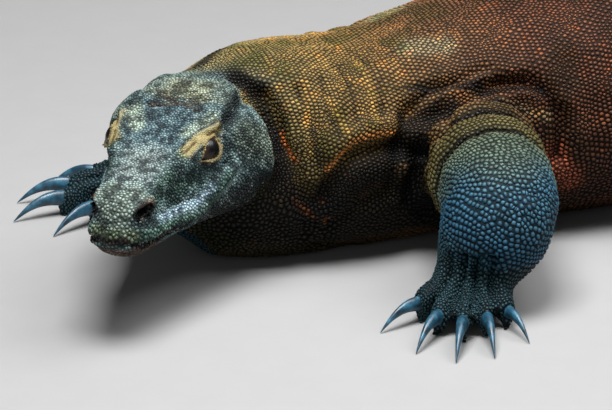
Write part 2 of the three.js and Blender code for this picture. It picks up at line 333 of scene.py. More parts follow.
# Paths in the head's frame that both shape and colour follow.
browBand = [(-96, 32, 43), (-110, 36, 47), (-122, 40, 49), (-138, 45, 48)]
browCrease = [(-92, 30, 41), (-106, 34, 46), (-124, 41, 49), (-138, 46, 47)]
mouthLine = [(4, 0, 2), (0, 14, 1), (-9, 23, -1), (-22, 28, -5), (-40, 31, -8), (-70, 37, -13),
             (-97, 42, -12), (-114, 48, -4), (-130, 53, 4), (-148, 57, 14)]
# Strokes on the head, each a path, how broad it is and how far it rises.
headStrokes = {
    "snout side slims": [[(-4, 22, 14), (-40, 32, 14), (-60, 36, 14)], 18, -7],
    "temple slims": [[(-150, 50, 40), (-190, 50, 44)], 22, -3],
    "nostril swelling": [[(-20, 22, 24), (-32, 29, 27)], 8, 2.5],
    "canthal ridge": [[(-44, 23, 35), (-66, 24, 38), (-90, 27, 42)], 7, 1.8],
    "hollow before eye": [[(-66, 37, 23), (-84, 40, 25), (-99, 43, 25)], 9, -4.5],
    "hollow under eye": [[(-104, 46, 20), (-122, 50, 18), (-136, 53, 20)], 5, -2],
    "brow ridge": [[(-88, 28, 42), (-104, 31, 47), (-122, 37, 51), (-138, 43, 50), (-144, 48, 45)], 7.5, 5],
    "brow inner crease": [[(-90, 21, 44), (-108, 22, 50), (-128, 28, 54), (-142, 33, 55)], 3.2, -2.4],
    "brow middle crease": [browCrease, 1.6, -2.6],
    "brow lower crease": [[(-96, 37, 38), (-108, 41, 42), (-124, 46, 44), (-134, 49, 43)], 1.4, -1.8],
    "crown trough": [[(-60, 0, 44), (-90, 0, 47), (-130, 0, 52)], 12, -2],
    "occipital crease": [[(-146, -34, 50), (-148, -22, 56), (-156, 0, 60), (-164, 15, 60),
                          (-166, 32, 56)], 4, -3.4],
    "temple groove": [[(-142, 47, 47), (-152, 46, 50), (-174, 45, 54), (-198, 44, 54)], 6, -6],
    "temple roll": [[(-150, 33, 57), (-172, 32, 60), (-196, 30, 60)], 9, 2.5],
    "cheek": [[(-158, 58, 30), (-176, 64, 24), (-180, 66, 8)], 18, 4],
    "behind the eye": [[(-146, 50, 44), (-147, 55, 34), (-142, 56, 22)], 3, -2.4],
    "ear": [[(-182, 64, 24), (-186, 66, 16)], 4, -5],
    "upper lip": [[(2, 0, 6), (-8, 20, 6), (-20, 28, 4), (-40, 33, 1), (-66, 38, -3), (-92, 43, -5),
                   (-112, 48, 3), (-132, 54, 11), (-146, 57, 18)], 7, 2.6],
    "crease above lip": [[(-30, 32, 14), (-60, 36, 12), (-88, 41, 9), (-112, 47, 14),
                          (-132, 53, 21)], 2.4, -1.8],
    "mouth line": [mouthLine, 2, -4.5],
    "chin set back": [[(0, 0, -10), (-8, 18, -11), (-40, 27, -17), (-75, 33, -22)], 6, -2],
    "corner fold": [[(-148, 58, 14), (-160, 62, 4), (-170, 65, -12), (-172, 62, -32)], 3.5, -3],
    "jowl": [[(-128, 50, -14), (-150, 55, -18)], 14, 3],
    "head rear fold": [[(-208, 30, 60), (-204, 46, 54), (-200, 58, 44), (-195, 67, 30), (-189, 73, 8),
                        (-186, 72, -15), (-192, 62, -40), (-200, 40, -56)], 7, -7],
}
nostril = {"path": [(-18, 21.5, 24), (-23, 25, 25), (-29, 28.5, 25.5)], "wide": 2.9, "deep": -7}
# The eye looks out and up from its middle. Its opening is an almond, in degrees of the ball.
eyeLay = {"radius": 13, "gaze": (0.22, 0.88, 0.42), "long": 62, "tall": 29, "lid": 1.3}


def distanceToPath(points, path):
    path = np.array(path, float)
    nearest = np.full(len(points), 1e9)
    for start, end in zip(path[:-1], path[1:]):
        along = np.clip((points - start) @ (end - start) / ((end - start) @ (end - start)), 0, 1)
        nearest = np.minimum(nearest, np.linalg.norm(points - start - along[:, None] * (end - start), axis=1))
    return nearest


def strokeLift(points, path, broad, high):
    return high * np.exp(-(distanceToPath(points, path) / broad) ** 2)


def mirrored(path):
    return [(x, -y, z) for x, y, z in path]


def onLeft(places):
    spots = places.copy()
    spots[:, 1] = np.abs(spots[:, 1])
    return spots


def eyeFrame(side):
    gaze = Vector(eyeLay["gaze"]) * Vector((1, side, 1))
    gaze.normalize()
    back = Vector((-1, 0, 0.35))
    back = (back - back.dot(gaze) * gaze).normalized()
    return np.array((back, gaze.cross(back) * side, gaze)).T


def almondShare(places, side):
    offset = places - np.array(headLay["eye"], float) * (1, side, 1)
    back, rise, out = (offset @ eyeFrame(side)).T
    alpha = np.degrees(np.arctan2(back, out)) / eyeLay["long"]
    beta = np.degrees(np.arctan2(rise, out)) / eyeLay["tall"]
    share = np.sqrt(alpha ** 2 + (beta / np.clip(1 - 0.45 * alpha ** 2, 0.3, 1)) ** 2)
    return np.where((out > 0) & (np.linalg.norm(offset, axis=1) < 26), share, 9)


# The lids stand over the ball, roll up to a soft edge and end in a bare opening.
def shapeLids(places, side):
    middle = np.array(headLay["eye"], float) * (1, side, 1)
    offset = places - middle
    far = np.linalg.norm(offset, axis=1)
    almond = almondShare(places, side)
    inside = smoothStep(1.1, 0.92, almond)
    low = smoothStep(1, -4, (offset @ eyeFrame(side))[:, 1])
    bump = (1 + 1.1 * low) * np.exp(-((almond - 1.32 - 0.12 * low) / (0.2 + 0.12 * low)) ** 2)
    over = eyeLay["radius"] + eyeLay["lid"]
    lidded = np.maximum(far, over + bump)
    hug = smoothStep(2.3, 1.15, almond)
    lidded = lidded * (1 - hug) + np.minimum(lidded, over + 1.8 + 1.4 * low) * hug
    radius = lidded * (1 - inside) + (eyeLay["radius"] - 3) * inside
    near = almond < 9
    moved = places.copy()
    moved[near] = (middle + offset * (radius / far)[:, None])[near]
    return moved


def shapeHead(skin):
    mesh = skin.data
    for reach in (24, 19, 15.5):  # finer round the eyes, nostrils and lips
        def nearDetail(points):
            places = onLeft(toHead(points))
            eye = np.linalg.norm(places - np.array(headLay["eye"]), axis=1) < reach
            hole = distanceToPath(places, nostril["path"]) < reach * 0.5 - 1
            lips = distanceToPath(places, mouthLine) < (5 if reach > 20 else 0)
            return onHead(points) & (eye | hole | lips)
        subdivideWhere(skin, nearDetail)
    coords = coordsOf(mesh)
    chosen = onHead(coords, -260)
    places = toHead(coords[chosen])
    places[:, 1] += snoutTurn(places[:, 0])
    normals = normalsOf(mesh)[chosen] @ headTurn
    lift = np.zeros(len(places))
    for path, broad, high in headStrokes.values():
        reached = [strokeLift(places, side, broad, high) for side in (path, mirrored(path))]
        lift += reached[0] if path[0][1] < 0 else np.where(np.abs(reached[0]) > np.abs(reached[1]), *reached)
    for path in (nostril["path"], mirrored(nostril["path"])):
        off = distanceToPath(places, path)
        lift += nostril["deep"] * smoothStep(nostril["wide"] * 1.35, nostril["wide"] * 0.65, off)
    places += normals * lift[:, None]
    for side in (1, -1):
        places = shapeLids(places, side)
    coords[chosen] = fromHead(places)
    setCoords(mesh, coords)
    print("head shaped with", len(headStrokes), "strokes")


# Folds of the loose hide, each a path of stations along the body and degrees from its back to its left.
bodyFolds = {
    "neck fold": [[(-560, 36), (-556, 64), (-549, 78), (-538, 100), (-530, 130)], 7, -7],
    "second neck fold": [[(-530, 40), (-528, 62), (-524, 80), (-520, 104), (-512, 134)], 6, -4],
    "third neck fold": [[(-508, 34), (-510, 52), (-506, 68)], 6, -3],
    "fourth neck fold": [[(-488, 28), (-486, 46), (-490, 64)], 7, -3],
    "fifth neck fold": [[(-462, 26), (-460, 46), (-466, 64)], 6, -2.6],
    "sixth neck fold": [[(-436, 28), (-438, 44), (-446, 58)], 7, -2.6],
    "gular fold": [[(-524, 104), (-512, 90), (-500, 81), (-482, 79), (-455, 79), (-440, 86)], 8, -9],
    "fold under gular": [[(-510, 122), (-490, 108), (-462, 104)], 9, -5],
    "roll above gular": [[(-514, 76), (-499, 69), (-480, 66), (-456, 67)], 8, 5],
    "throat folds": [[(-560, 120), (-520, 140), (-480, 150)], 8, -4],
    "shoulder groove": [[(-446, 112), (-442, 94), (-436, 82), (-428, 73), (-414, 66), (-395, 62),
                         (-364, 60), (-340, 62), (-322, 70), (-314, 84), (-316, 100)], 6.5, -9],
    "outer shoulder groove": [[(-464, 100), (-458, 84), (-450, 69), (-434, 59), (-410, 53),
                               (-370, 51)], 5.5, -5],
    "roll of the shoulder": [[(-452, 92), (-444, 76), (-430, 65), (-408, 58), (-372, 55)], 5, 2.5],
    "flank wrinkle": [[(-350, 66), (-325, 68), (-304, 76)], 4, 2.5],
    "flank groove": [[(-300, 56), (-288, 74), (-284, 96)], 9, -3],
    "hip groove": [[(235, 92), (242, 74), (262, 60), (300, 52), (345, 52), (385, 62), (404, 82)], 9, -7],
    "tail root fold": [[(432, 50), (440, 80), (446, 110)], 8, -3],
}


def onSpine(x, angle, tree):
    turn = math.radians(angle)
    middle = Vector((x, spineAt(x, "y"), spineAt(x, "z")))
    away = Vector((0, -math.sin(turn), math.cos(turn)))
    reach = 1 / math.hypot(away.y / spineAt(x, "wide"), away.z / spineAt(x, "high"))
    hit = tree.ray_cast(inPart(*middle), away, reach * 1.2 * mm)
    far = hit[3] / mm if hit[0] is not None and hit[3] > reach * 0.8 * mm else reach
    return tuple(middle + away * far)


def bothSides(path, tree):
    return [[onSpine(x, angle * side, tree) for x, angle in path] for side in (1, -1)]


def toeLines(name):
    leg = legs[name]
    kind = footKinds[leg["kind"]]
    wrist = np.array((*leg["joints"][2][:2], 13.0))
    lines = []
    for turn, length in zip(kind["turns"], kind["lengths"]):
        heading, spread = (math.radians(leg["heading"] + leg["side"] * turn * grow) for grow in (1, 1.25))
        base = kind["palm"] * 0.8
        start = wrist + np.array((math.cos(spread), math.sin(spread), 0)) * base
        reach = (length - base) * leg["stretch"] + base * (leg["stretch"] - 1)
        lines.append((start, start + np.array((math.cos(heading), math.sin(heading), 0)) * reach))
    return lines


def toeLift(places, name):
    lines = toeLines(name)
    flat = places * (1, 1, 0)
    broad = 4.0 if name in foreLegs else 5.0
    lift = np.zeros(len(places))
    for one, two in zip(lines[:-1], lines[1:]):
        start, end = ((one[k] + two[k]) / 2 * (1, 1, 0) for k in (0, 1))
        start, end = start + (end - start) * 0.05, start + (end - start) * 1.6
        lift = np.minimum(lift, strokeLift(flat, [start, end], broad, -10))
    for start, end in lines:
        for share in (0.3, 0.75):  # knuckles
            knuckle = start + (end - start) * share + np.array((0, 0, 10.0))
            lift += 2 * np.exp(-(np.linalg.norm(places - knuckle, axis=1) / 6) ** 2)
    return lift


# Rings of loose hide round the top of a fore leg, each its share of the upper arm, breadth and height.
armRings = [(0.10, 0.03, -4), (0.24, 0.05, -8), (0.34, 0.04, 2), (0.44, 0.035, -6), (0.55, 0.05, 2),
            (0.67, 0.03, -6), (0.80, 0.05, 1.5)]


def ringLift(points, name):
    share, weight = upperArm(points, name)
    share = share + 0.02 * np.sin(points[:, 2] * 60)
    return weight * sum(high * np.exp(-((share - at) / broad) ** 2) for at, broad, high in armRings)


def shapeFolds(skin):
    mesh = skin.data
    coords, normals = coordsOf(mesh), normalsOf(mesh)
    places = toPart(coords)
    tree = BVHTree.FromObject(skin, bpy.context.evaluated_depsgraph_get())
    lift = np.zeros(len(places))
    for path, broad, high in bodyFolds.values():
        chosen = np.abs(places[:, 0] - path[0][0]) < 330
        for line in bothSides(path, tree):
            lift[chosen] += strokeLift(places[chosen], line, broad, high)
    for name in foreLegs:
        lift += ringLift(coords, name)
    feet = onFeet(coords)
    for name in legs:
        lift[feet] += toeLift(places[feet], name)
    coords += normals * (lift - skinStyle["coatDepth"])[:, None] * mm
    coords[:, 2] = np.maximum(coords[:, 2], 0)
    setCoords(mesh, coords)
    print("folds shaped", len(mesh.vertices), "points")


shapeHead(skin)
shapeFolds(skin)


# Claws: one horn, modelled along x from its root, then a copy of it on every toe.
clawStyle = {"sides": 12, "rings": 12, "rootWide": 0.15, "slim": 0.72, "sink": 0.16, "drop": 0.34,
             "curl": 2.3}


def clawRing(share):
    radius = clawStyle["rootWide"] * (1 - share ** 1.6) ** 0.9 * (1 - 0.25 * share) + 0.010
    height = 0.07 * math.sin(share * math.pi) - clawStyle["drop"] * share ** clawStyle["curl"]
    return share, height, radius


def makeClawShape():
    bpy.ops.mesh.primitive_circle_add(vertices=clawStyle["sides"], radius=1, fill_type="NGON",
                                      rotation=(0, math.pi / 2, 0))
    claw = bpy.context.object
    bpy.ops.object.transform_apply(rotation=True)
    bpy.ops.object.mode_set(mode="EDIT")
    bpy.ops.mesh.select_all(action="SELECT")
    at, height, size = clawRing(0)
    bpy.ops.transform.resize(value=(1, size * clawStyle["slim"], size))
    for k in range(1, clawStyle["rings"] + 1):
        ahead, rise, radius = clawRing(k / clawStyle["rings"])
        bpy.ops.mesh.extrude_region_move(TRANSFORM_OT_translate={"value": (ahead - at, 0, rise - height)})
        bpy.ops.transform.resize(value=(1, radius / size, radius / size))
        at, height, size = ahead, rise, radius
    bpy.ops.object.mode_set(mode="OBJECT")
    editWhole(claw, bpy.ops.mesh.normals_make_consistent, inside=False)
    return claw


def placeClaws():
    shape = makeClawShape()
    pattern = coordsOf(shape.data)
    made = []
    for name, leg in legs.items():
        for k, turn in enumerate(footKinds[leg["kind"]]["turns"]):
            node = f"claw_{name}_{k + 1}"
            corners = coordsOf(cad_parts[node].data)
            heading = math.radians(leg["heading"] + leg["side"] * turn)
            ahead = np.array((math.cos(heading), math.sin(heading), 0))
            aside = np.array((-ahead[1], ahead[0], 0))
            reach = corners @ ahead
            root = corners[reach < reach.min() + 1e-4].mean(0)
            seen = reach.max() - reach.min()
            whole = seen * (1 + clawStyle["sink"])
            root = root - ahead * clawStyle["sink"] * seen
            level = (root[2] - 0.0006) / clawStyle["drop"] / whole  # the tip comes down to the floor
            coords = root + whole * (pattern[:, :1] * ahead + pattern[:, 1:2] * aside)
            arch = clawStyle["drop"] * np.clip(pattern[:, 0], 0, None) ** clawStyle["curl"]
            coords[:, 2] += whole * (pattern[:, 2] + arch * (1 - level))
            coords[:, 2] = np.maximum(coords[:, 2], 0.0002)
            claw = shape.copy()
            claw.data = shape.data.copy()
            claw.name = node.replace("claw_", "horn_")
            bpy.context.collection.objects.link(claw)
            setCoords(claw.data, coords)
            applyModifier(claw, "SUBSURF", levels=1, render_levels=1)
            claw.data.shade_smooth()
            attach(claw, "root")
            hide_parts(node)
            made.append(claw)
    bpy.data.objects.remove(shape)
    print("claws:", len(made))
    return made


claws = placeClaws()


# Eyes: a ball with a clear swelling in front of the iris.
def makeEye(name, side):
    middle = np.array(nodeMiddle(name))
    radius = eyeLay["radius"] * mm
    bpy.ops.mesh.primitive_uv_sphere_add(segments=48, ring_count=32, radius=radius)
    eye = bpy.context.object
    coords = coordsOf(eye.data)
    swelling = 0.05 * smoothStep(0.80, 0.97, coords[:, 2] / radius)
    coords *= (1 + swelling)[:, None]
    coords = coords @ (headTurn @ eyeFrame(side)).T + middle
    setCoords(eye.data, coords)
    editWhole(eye, bpy.ops.mesh.normals_make_consistent, inside=False)
    eye.data.shade_smooth()
    eye.name = name.replace("eye", "eyeball")
    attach(eye, "root")
    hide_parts(name)
    return eye


eyes = [makeEye("eye_left", 1), makeEye("eye_right", -1)]
print("eyes made")


# Places for the scales: rows round the body and legs, and scattered beads on the head and feet.
scaleLay = {
    "bellyGrowth": 0.45,  # how much larger the belly's scales are than the back's
    "rowPitch": 0.90,  # rows apart, against scales apart
    "closest": 0.72,  # how near a scale of a row may be to another, against their spacing
    "closestDart": 0.84,  # the same for a scattered scale
    "darts": 560000,  # places tried for the scattered scales
}
bodySpacing = {"x": [-640, -560, -430, -250, -160, 20, 400, 760, 1300, 1870],
               "size": [3.3, 3.4, 3.7, 4.0, 4.8, 6.6, 6.6, 6.2, 5.4, 3.6]}


def headSpacing(places):
    spots = onLeft(places)
    size = 2.35 + 0.5 * smoothStep(-60, -10, spots[:, 0])
    size += 0.4 * np.exp(-(distanceToPath(spots, headStrokes["upper lip"][0]) / 7) ** 2)
    size += 1.8 * smoothStep(-14, -40, spots[:, 2])  # throat
    lids = smoothStep(1.25, 1.5, almondShare(spots, 1))
    brow = smoothStep(5, 7, distanceToPath(spots, browBand))
    rim = smoothStep(6, 9, distanceToPath(spots, nostril["path"]))
    return 1.7 + (size - 1.7) * np.minimum(np.minimum(lids, brow), rim)


def smoothNormals(mesh):
    starts = np.empty(len(mesh.polygons), dtype=np.int64)
    mesh.polygons.foreach_get("loop_start", starts)
    corners = np.empty(len(mesh.loops), dtype=np.int64)
    mesh.loops.foreach_get("vertex_index", corners)
    summed = np.add.reduceat(normalsOf(mesh)[corners], starts)
    return summed / np.linalg.norm(summed, axis=1, keepdims=True)


skinTree = BVHTree.FromObject(skin, bpy.context.evaluated_depsgraph_get())
skinNormals = smoothNormals(skin.data)


def unit(vectors):
    return vectors / np.maximum(np.linalg.norm(vectors, axis=-1, keepdims=True), 1e-9)


def outlineRing(centre, along, up, wide, high, side):
    across = np.cross(along, up) * side
    angles = np.radians(np.arange(0, 184, 4))
    guess = 1 / np.sqrt((np.sin(angles) / wide) ** 2 + (np.cos(angles) / high) ** 2)
    reach, valid = guess.copy(), np.zeros(len(angles), bool)
    for k, angle in enumerate(angles):
        ray = up * math.cos(angle) + across * math.sin(angle)
        hit = skinTree.ray_cast(Vector(centre), Vector(ray), guess[k] * 1.3)
        if hit[0] is not None:
            reach[k], valid[k] = hit[3], True
    return angles, reach, valid, across


def ringOfScales(ring, spacing, half, growth):
    angles, reach, valid = ring
    points = np.stack([reach * np.cos(angles), reach * np.sin(angles)], 1)
    steps = np.linalg.norm(np.diff(points, axis=0), axis=1)
    size = spacing * (1 + growth * smoothStep(1.7, 2.5, angles))
    counted = np.concatenate([[0], np.cumsum(steps / ((size[1:] + size[:-1]) / 2))])
    wanted = np.arange(0.5 if half else 0, counted[-1] - 0.25, 1)
    found = np.interp(wanted, counted, angles)
    usable = np.interp(wanted, counted, valid.astype(float)) > 0.99
    return found[usable], np.interp(found[usable], angles, reach), np.interp(found[usable], angles, size)


def tubeRows(stations, region, growth=0.0):
    rows = []
    for k, (centre, along, up, wide, high, spacing) in enumerate(stations):
        for side in (1, -1):
            ring = outlineRing(centre, along, up, wide, high, side)
            found, reach, size = ringOfScales(ring[:3], spacing, k % 2 == 1, growth)
            if side < 0 and k % 2 == 0:
                found, reach, size = found[1:], reach[1:], size[1:]
            out = np.cos(found)[:, None] * up + np.sin(found)[:, None] * ring[3]
            for place, one in zip(centre + out * reach[:, None], size):
                rows.append((*place, *along, one, region))
    return rows


def spineStations(start, end):
    x, stations = start, []
    while x < end:
        centre, ahead = (np.array(inPart(s, spineAt(s, "y"), spineAt(s, "z"))) for s in (x, x + 25))
        along = unit(centre - ahead) * np.array((1, 1, 0))
        spacing = np.interp(x, bodySpacing["x"], bodySpacing["size"])
        stations.append((centre, unit(along), np.array((0, 0, 1.0)), spineAt(x, "wide") * mm,
                         spineAt(x, "high") * mm, spacing * mm))
        x += spacing * scaleLay["rowPitch"] * (1 + 0.35 * float(smoothStep(430, 700, x)))
    return stations


legSpacing = {"fore": [3.7, 4.0, 4.4, 3.3], "hind": [6.4, 7.0, 6.6, 5.4]}
toeSpacing = {"fore": 2.9, "hind": 4.6}


def legStations(name):
    leg = legs[name]
    kind = footKinds[leg["kind"]]
    joints = jointsInWorld(name)
    fold = np.cross(joints[1] - joints[0], joints[2] - joints[1])
    stations, at = [], 0.18
    while at < 2.0:
        k, share = int(at), at - int(at)
        start, end = joints[k], joints[k + 1]
        widths = kind["upper" if k == 0 else "lower"]
        wide = np.interp(share, [0, 1 / 3, 2 / 3, 1], widths) * mm
        spacing = np.interp(at, [0, 0.7, 1.5, 2], legSpacing[leg["kind"]]) * mm
        bend = smoothStep(0.72, 1.3, at)
        along = unit(unit(joints[0] - joints[1]) * (1 - bend) + unit(joints[1] - joints[2]) * bend)
        up = unit(np.cross(along, unit(fold)))
        if up[2] < 0:
            up = -up
        stations.append((start + (end - start) * share, along, up, wide, wide, spacing))
        at += spacing * scaleLay["rowPitch"] / np.linalg.norm(end - start)
    return stations


def toeStations(name):
    spacing = toeSpacing[legs[name]["kind"]]
    stations = []
    for start, end in toeLines(name):
        ahead = unit(end - start)
        for step in np.arange(6, np.linalg.norm(end - start), spacing):
            centre = np.array(inPart(*(start + ahead * step)))
            stations.append((centre, -ahead, np.array((0, 0, 1.0)), 0.013, 0.02, spacing * mm))
    return stations


regionNames = ["head", "neck", "trunk_front", "trunk_rear", "tail", *legs]
rows = tubeRows(spineStations(-606, 1866), 0, scaleLay["bellyGrowth"])
for name in legs:
    rows += tubeRows(legStations(name), regionNames.index(name))
    rows += tubeRows(toeStations(name), regionNames.index(name))
rows = np.array(rows)
print("scales in rows:", len(rows))


# How far each place is from a leg's line, against the leg's width there, and where it is along the leg.
def legDistance(places, name):
    joints = np.array(legs[name]["joints"], float)
    kind = footKinds[legs[name]["kind"]]
    best, along = np.full(len(places), 1e9), np.zeros(len(places))
    for k in (0, 1):
        line = joints[k + 1] - joints[k]
        at = np.clip((places - joints[k]) @ line / (line @ line), 0, 1)
        off = np.linalg.norm(places - joints[k] - at[:, None] * line, axis=1)
        off /= np.interp(at, [0, 1 / 3, 2 / 3, 1], kind["upper" if k == 0 else "lower"])
        closer = off < best
        best[closer], along[closer] = off[closer], (at + k)[closer]
    foot = smoothStep(60, 45, places[:, 2]) * (np.linalg.norm(places - joints[2], axis=1) < 230)
    reach = np.linalg.norm(places[:, :2] - joints[2][:2], axis=1)
    inFoot = (foot > 0.5) & (reach < (260 if kind["palm"] > 50 else 170)) & (along > 1.9)
    return np.where(inFoot, 0.8, best), np.where(inFoot, 2 + reach / 200, along)


def regionsOf(points):
    places, inHead = toPart(points), toHead(points)
    region = np.digitize(places[:, 0], [-612, -420, -60, 430])
    bodyOff = np.hypot((places[:, 1] - spineAt(places[:, 0], "y")) / spineAt(places[:, 0], "wide"),
                       (places[:, 2] - spineAt(places[:, 0], "z")) / spineAt(places[:, 0], "high"))
    for name in legs:
        off, along = legDistance(places, name)
        region = np.where((off < 1.12) & (along > 0.12) & (bodyOff > 1.05), regionNames.index(name), region)
    headward = (inHead[:, 0] > -208 + 0.12 * np.abs(inHead[:, 1])) & (np.abs(inHead[:, 1]) < 84)
    headward &= (inHead[:, 2] > -75) & (inHead[:, 2] < 85) & (inHead[:, 0] < 30)
    headward &= (inHead[:, 0] > -150) | (inHead[:, 2] > -60)
    region = np.where(headward, 0, region)
    return np.where((region == 0) & ~headward, 1, region)


def spacingOf(points, region):
    places = toPart(points)
    size = np.interp(places[:, 0], bodySpacing["x"], bodySpacing["size"])
    inHead = region == 0
    size[inHead] = headSpacing(toHead(points[inHead]))
    for name, leg in legs.items():
        mine = region == regionNames.index(name)
        along = legDistance(places[mine], name)[1]
        wanted = [*legSpacing[leg["kind"]], toeSpacing[leg["kind"]]]
        size[mine] = np.interp(along, [0, 0.7, 1.5, 2, 2.2], wanted)
    return size


def throwDarts(mesh, count):
    mesh.calc_loop_triangles()
    triangles = np.empty(len(mesh.loop_triangles) * 3, dtype=np.int64)
    mesh.loop_triangles.foreach_get("vertices", triangles)
    corners = coordsOf(mesh)[triangles.reshape(-1, 3)]
    areas = np.linalg.norm(np.cross(corners[:, 1] - corners[:, 0], corners[:, 2] - corners[:, 0]), axis=1) / 2
    middles = corners.mean(1)
    weight = areas / spacingOf(middles, regionsOf(middles)) ** 2
    chosen = dice.choice(len(areas), count, p=weight / weight.sum())
    a, b = dice.random((2, count))
    flip = a + b > 1
    a, b = np.where(flip, 1 - a, a), np.where(flip, 1 - b, b)
    first, second, third = corners[chosen].transpose(1, 0, 2)
    return first + (second - first) * a[:, None] + (third - first) * b[:, None]


cell = 0.008
neighbours = [(i, j, k) for i in (-1, 0, 1) for j in (-1, 0, 1) for k in (-1, 0, 1)]


def crowded(point, size, key, taken, closest):
    for i, j, k in neighbours:
        for x, y, z, otherSize in taken.get((key[0] + i, key[1] + j, key[2] + k), ()):
            gap = closest * (size + otherSize) / 2
            if (point[0] - x) ** 2 + (point[1] - y) ** 2 + (point[2] - z) ** 2 < gap * gap:
                return True
    return False


def settle(points, sizes, taken, closest):
    kept = []
    for k, (point, size) in enumerate(zip(points.tolist(), sizes.tolist())):
        key = (int(point[0] // cell), int(point[1] // cell), int(point[2] // cell))
        if not crowded(point, size, key, taken, closest):
            taken.setdefault(key, []).append((*point, size))
            kept.append(k)
    return np.array(kept, dtype=np.int64)


def wander(points, sizes):
    waves = np.array([(71, 38, -52), (-44, 83, 29), (35, -61, 77)])
    sway = np.sin(points @ waves.T + (0.4, 1.9, 3.1)) + 0.5 * np.sin(points @ waves.T * 2.3 + (2.2, 0.3, 5.0))
    return sway * 0.0022 + dice.normal(0, 0.07, points.shape) * sizes[:, None]


def scatterScales():
    points, along, sizes = rows[:, :3], rows[:, 3:6], rows[:, 6]
    region = regionsOf(points)
    onBody = (region > 0) & (region < regionNames.index("fore_left"))
    fits = np.where(rows[:, 7] == 0, onBody, region == rows[:, 7])
    points, along, sizes, region = points[fits], along[fits], sizes[fits], region[fits]
    points = points + wander(points, sizes)
    taken = {}
    kept = settle(points, sizes, taken, scaleLay["closest"])
    points, along, sizes, region = points[kept], along[kept], sizes[kept], region[kept]
    print("rows kept:", len(points))
    darts = throwDarts(skin.data, scaleLay["darts"])
    spots = onLeft(toHead(darts))
    darts = darts[(almondShare(spots, 1) > 1.2) & (distanceToPath(spots, nostril["path"]) > 5.2)]
    dartRegion = regionsOf(darts)
    dartSizes = spacingOf(darts, dartRegion) * mm
    for part in (dartRegion == 0, dartRegion > 0):
        chosen = np.flatnonzero(part)
        kept = chosen[settle(darts[chosen], dartSizes[chosen], taken, scaleLay["closestDart"])]
        points = np.concatenate([points, darts[kept]])
        sizes = np.concatenate([sizes, dartSizes[kept]])
        region = np.concatenate([region, dartRegion[kept]])
        flow = np.tile(np.array((-1.0, 0, 0)), (len(kept), 1))
        flow[dartRegion[kept] == 0] = headTurn[:, 0]
        along = np.concatenate([along, flow])
    print("with scattered ones:", len(points))
    return points, along, sizes, region


points, along, sizes, regions = scatterScales()
for k, name in enumerate(regionNames):
    print(name, (regions == k).sum())


# Every scale is a low closed dome whose outline keeps clear of its neighbours.
domeStyle = {"sides": 8, "plainSides": 6, "widest": 0.74, "shoulder": 0.72, "shoulderRise": 0.66,
             "sink": 0.45}
# How much of its cell a scale fills along the animal or limb, and across it.
scaleFill = {"head": (0.93, 0.93), "body": (0.97, 0.80), "limb": (0.82, 1.0)}
scaleRise = {"head": 0.26, "neck": 0.3, "trunk_front": 0.3, "trunk_rear": 0.24, "tail": 0.22, "leg": 0.3}


def surfaceAt(points):
    places, normals = np.empty((len(points), 3)), np.empty((len(points), 3))
    for k, point in enumerate(points):
        hit = skinTree.find_nearest(Vector(point))
        places[k] = hit[0]
        normals[k] = skinNormals[hit[2]]
    return places, normals


def turnsOf(sides):
    return np.arange(sides) / sides * 2 * math.pi


def spokesAt(turns):
    return np.stack([np.cos(turns), np.sin(turns)], 0)


# How far a scale reaches along each spoke before it meets the middle line to a neighbour.
def cellReach(points, normals, along, sizes, spokes):
    tree = KDTree(len(points))
    for k, point in enumerate(points):
        tree.insert(Vector(point), k)
    tree.balance()
    near = np.array([[found[1] for found in tree.find_n(Vector(point), 13)][1:] for point in points])
    across = np.cross(normals, along)
    offsets = points[near] - points[:, None]
    flat = np.stack([np.einsum("nkd,nd->nk", offsets, along), np.einsum("nkd,nd->nk", offsets, across)], 2)
    true = np.linalg.norm(offsets, axis=2)
    flat *= (true / np.maximum(np.linalg.norm(flat, axis=2), 1e-6))[:, :, None]
    facing = np.einsum("nd,nkd->nk", normals, normals[near]) > -0.2
    toward = flat @ spokes
    cut = (true ** 2)[:, :, None] / (2 * np.maximum(toward, 1e-7))
    cut = np.where((toward > 1e-6) & facing[:, :, None], cut, 1)
    return np.minimum(cut.min(1), (sizes * domeStyle["widest"])[:, None])


points, normals = surfaceAt(points)
along = unit(along - normals * (along * normals).sum(1, keepdims=True))
spokes = spokesAt(turnsOf(domeStyle["sides"]))
reach = cellReach(points, normals, along, sizes, spokes)


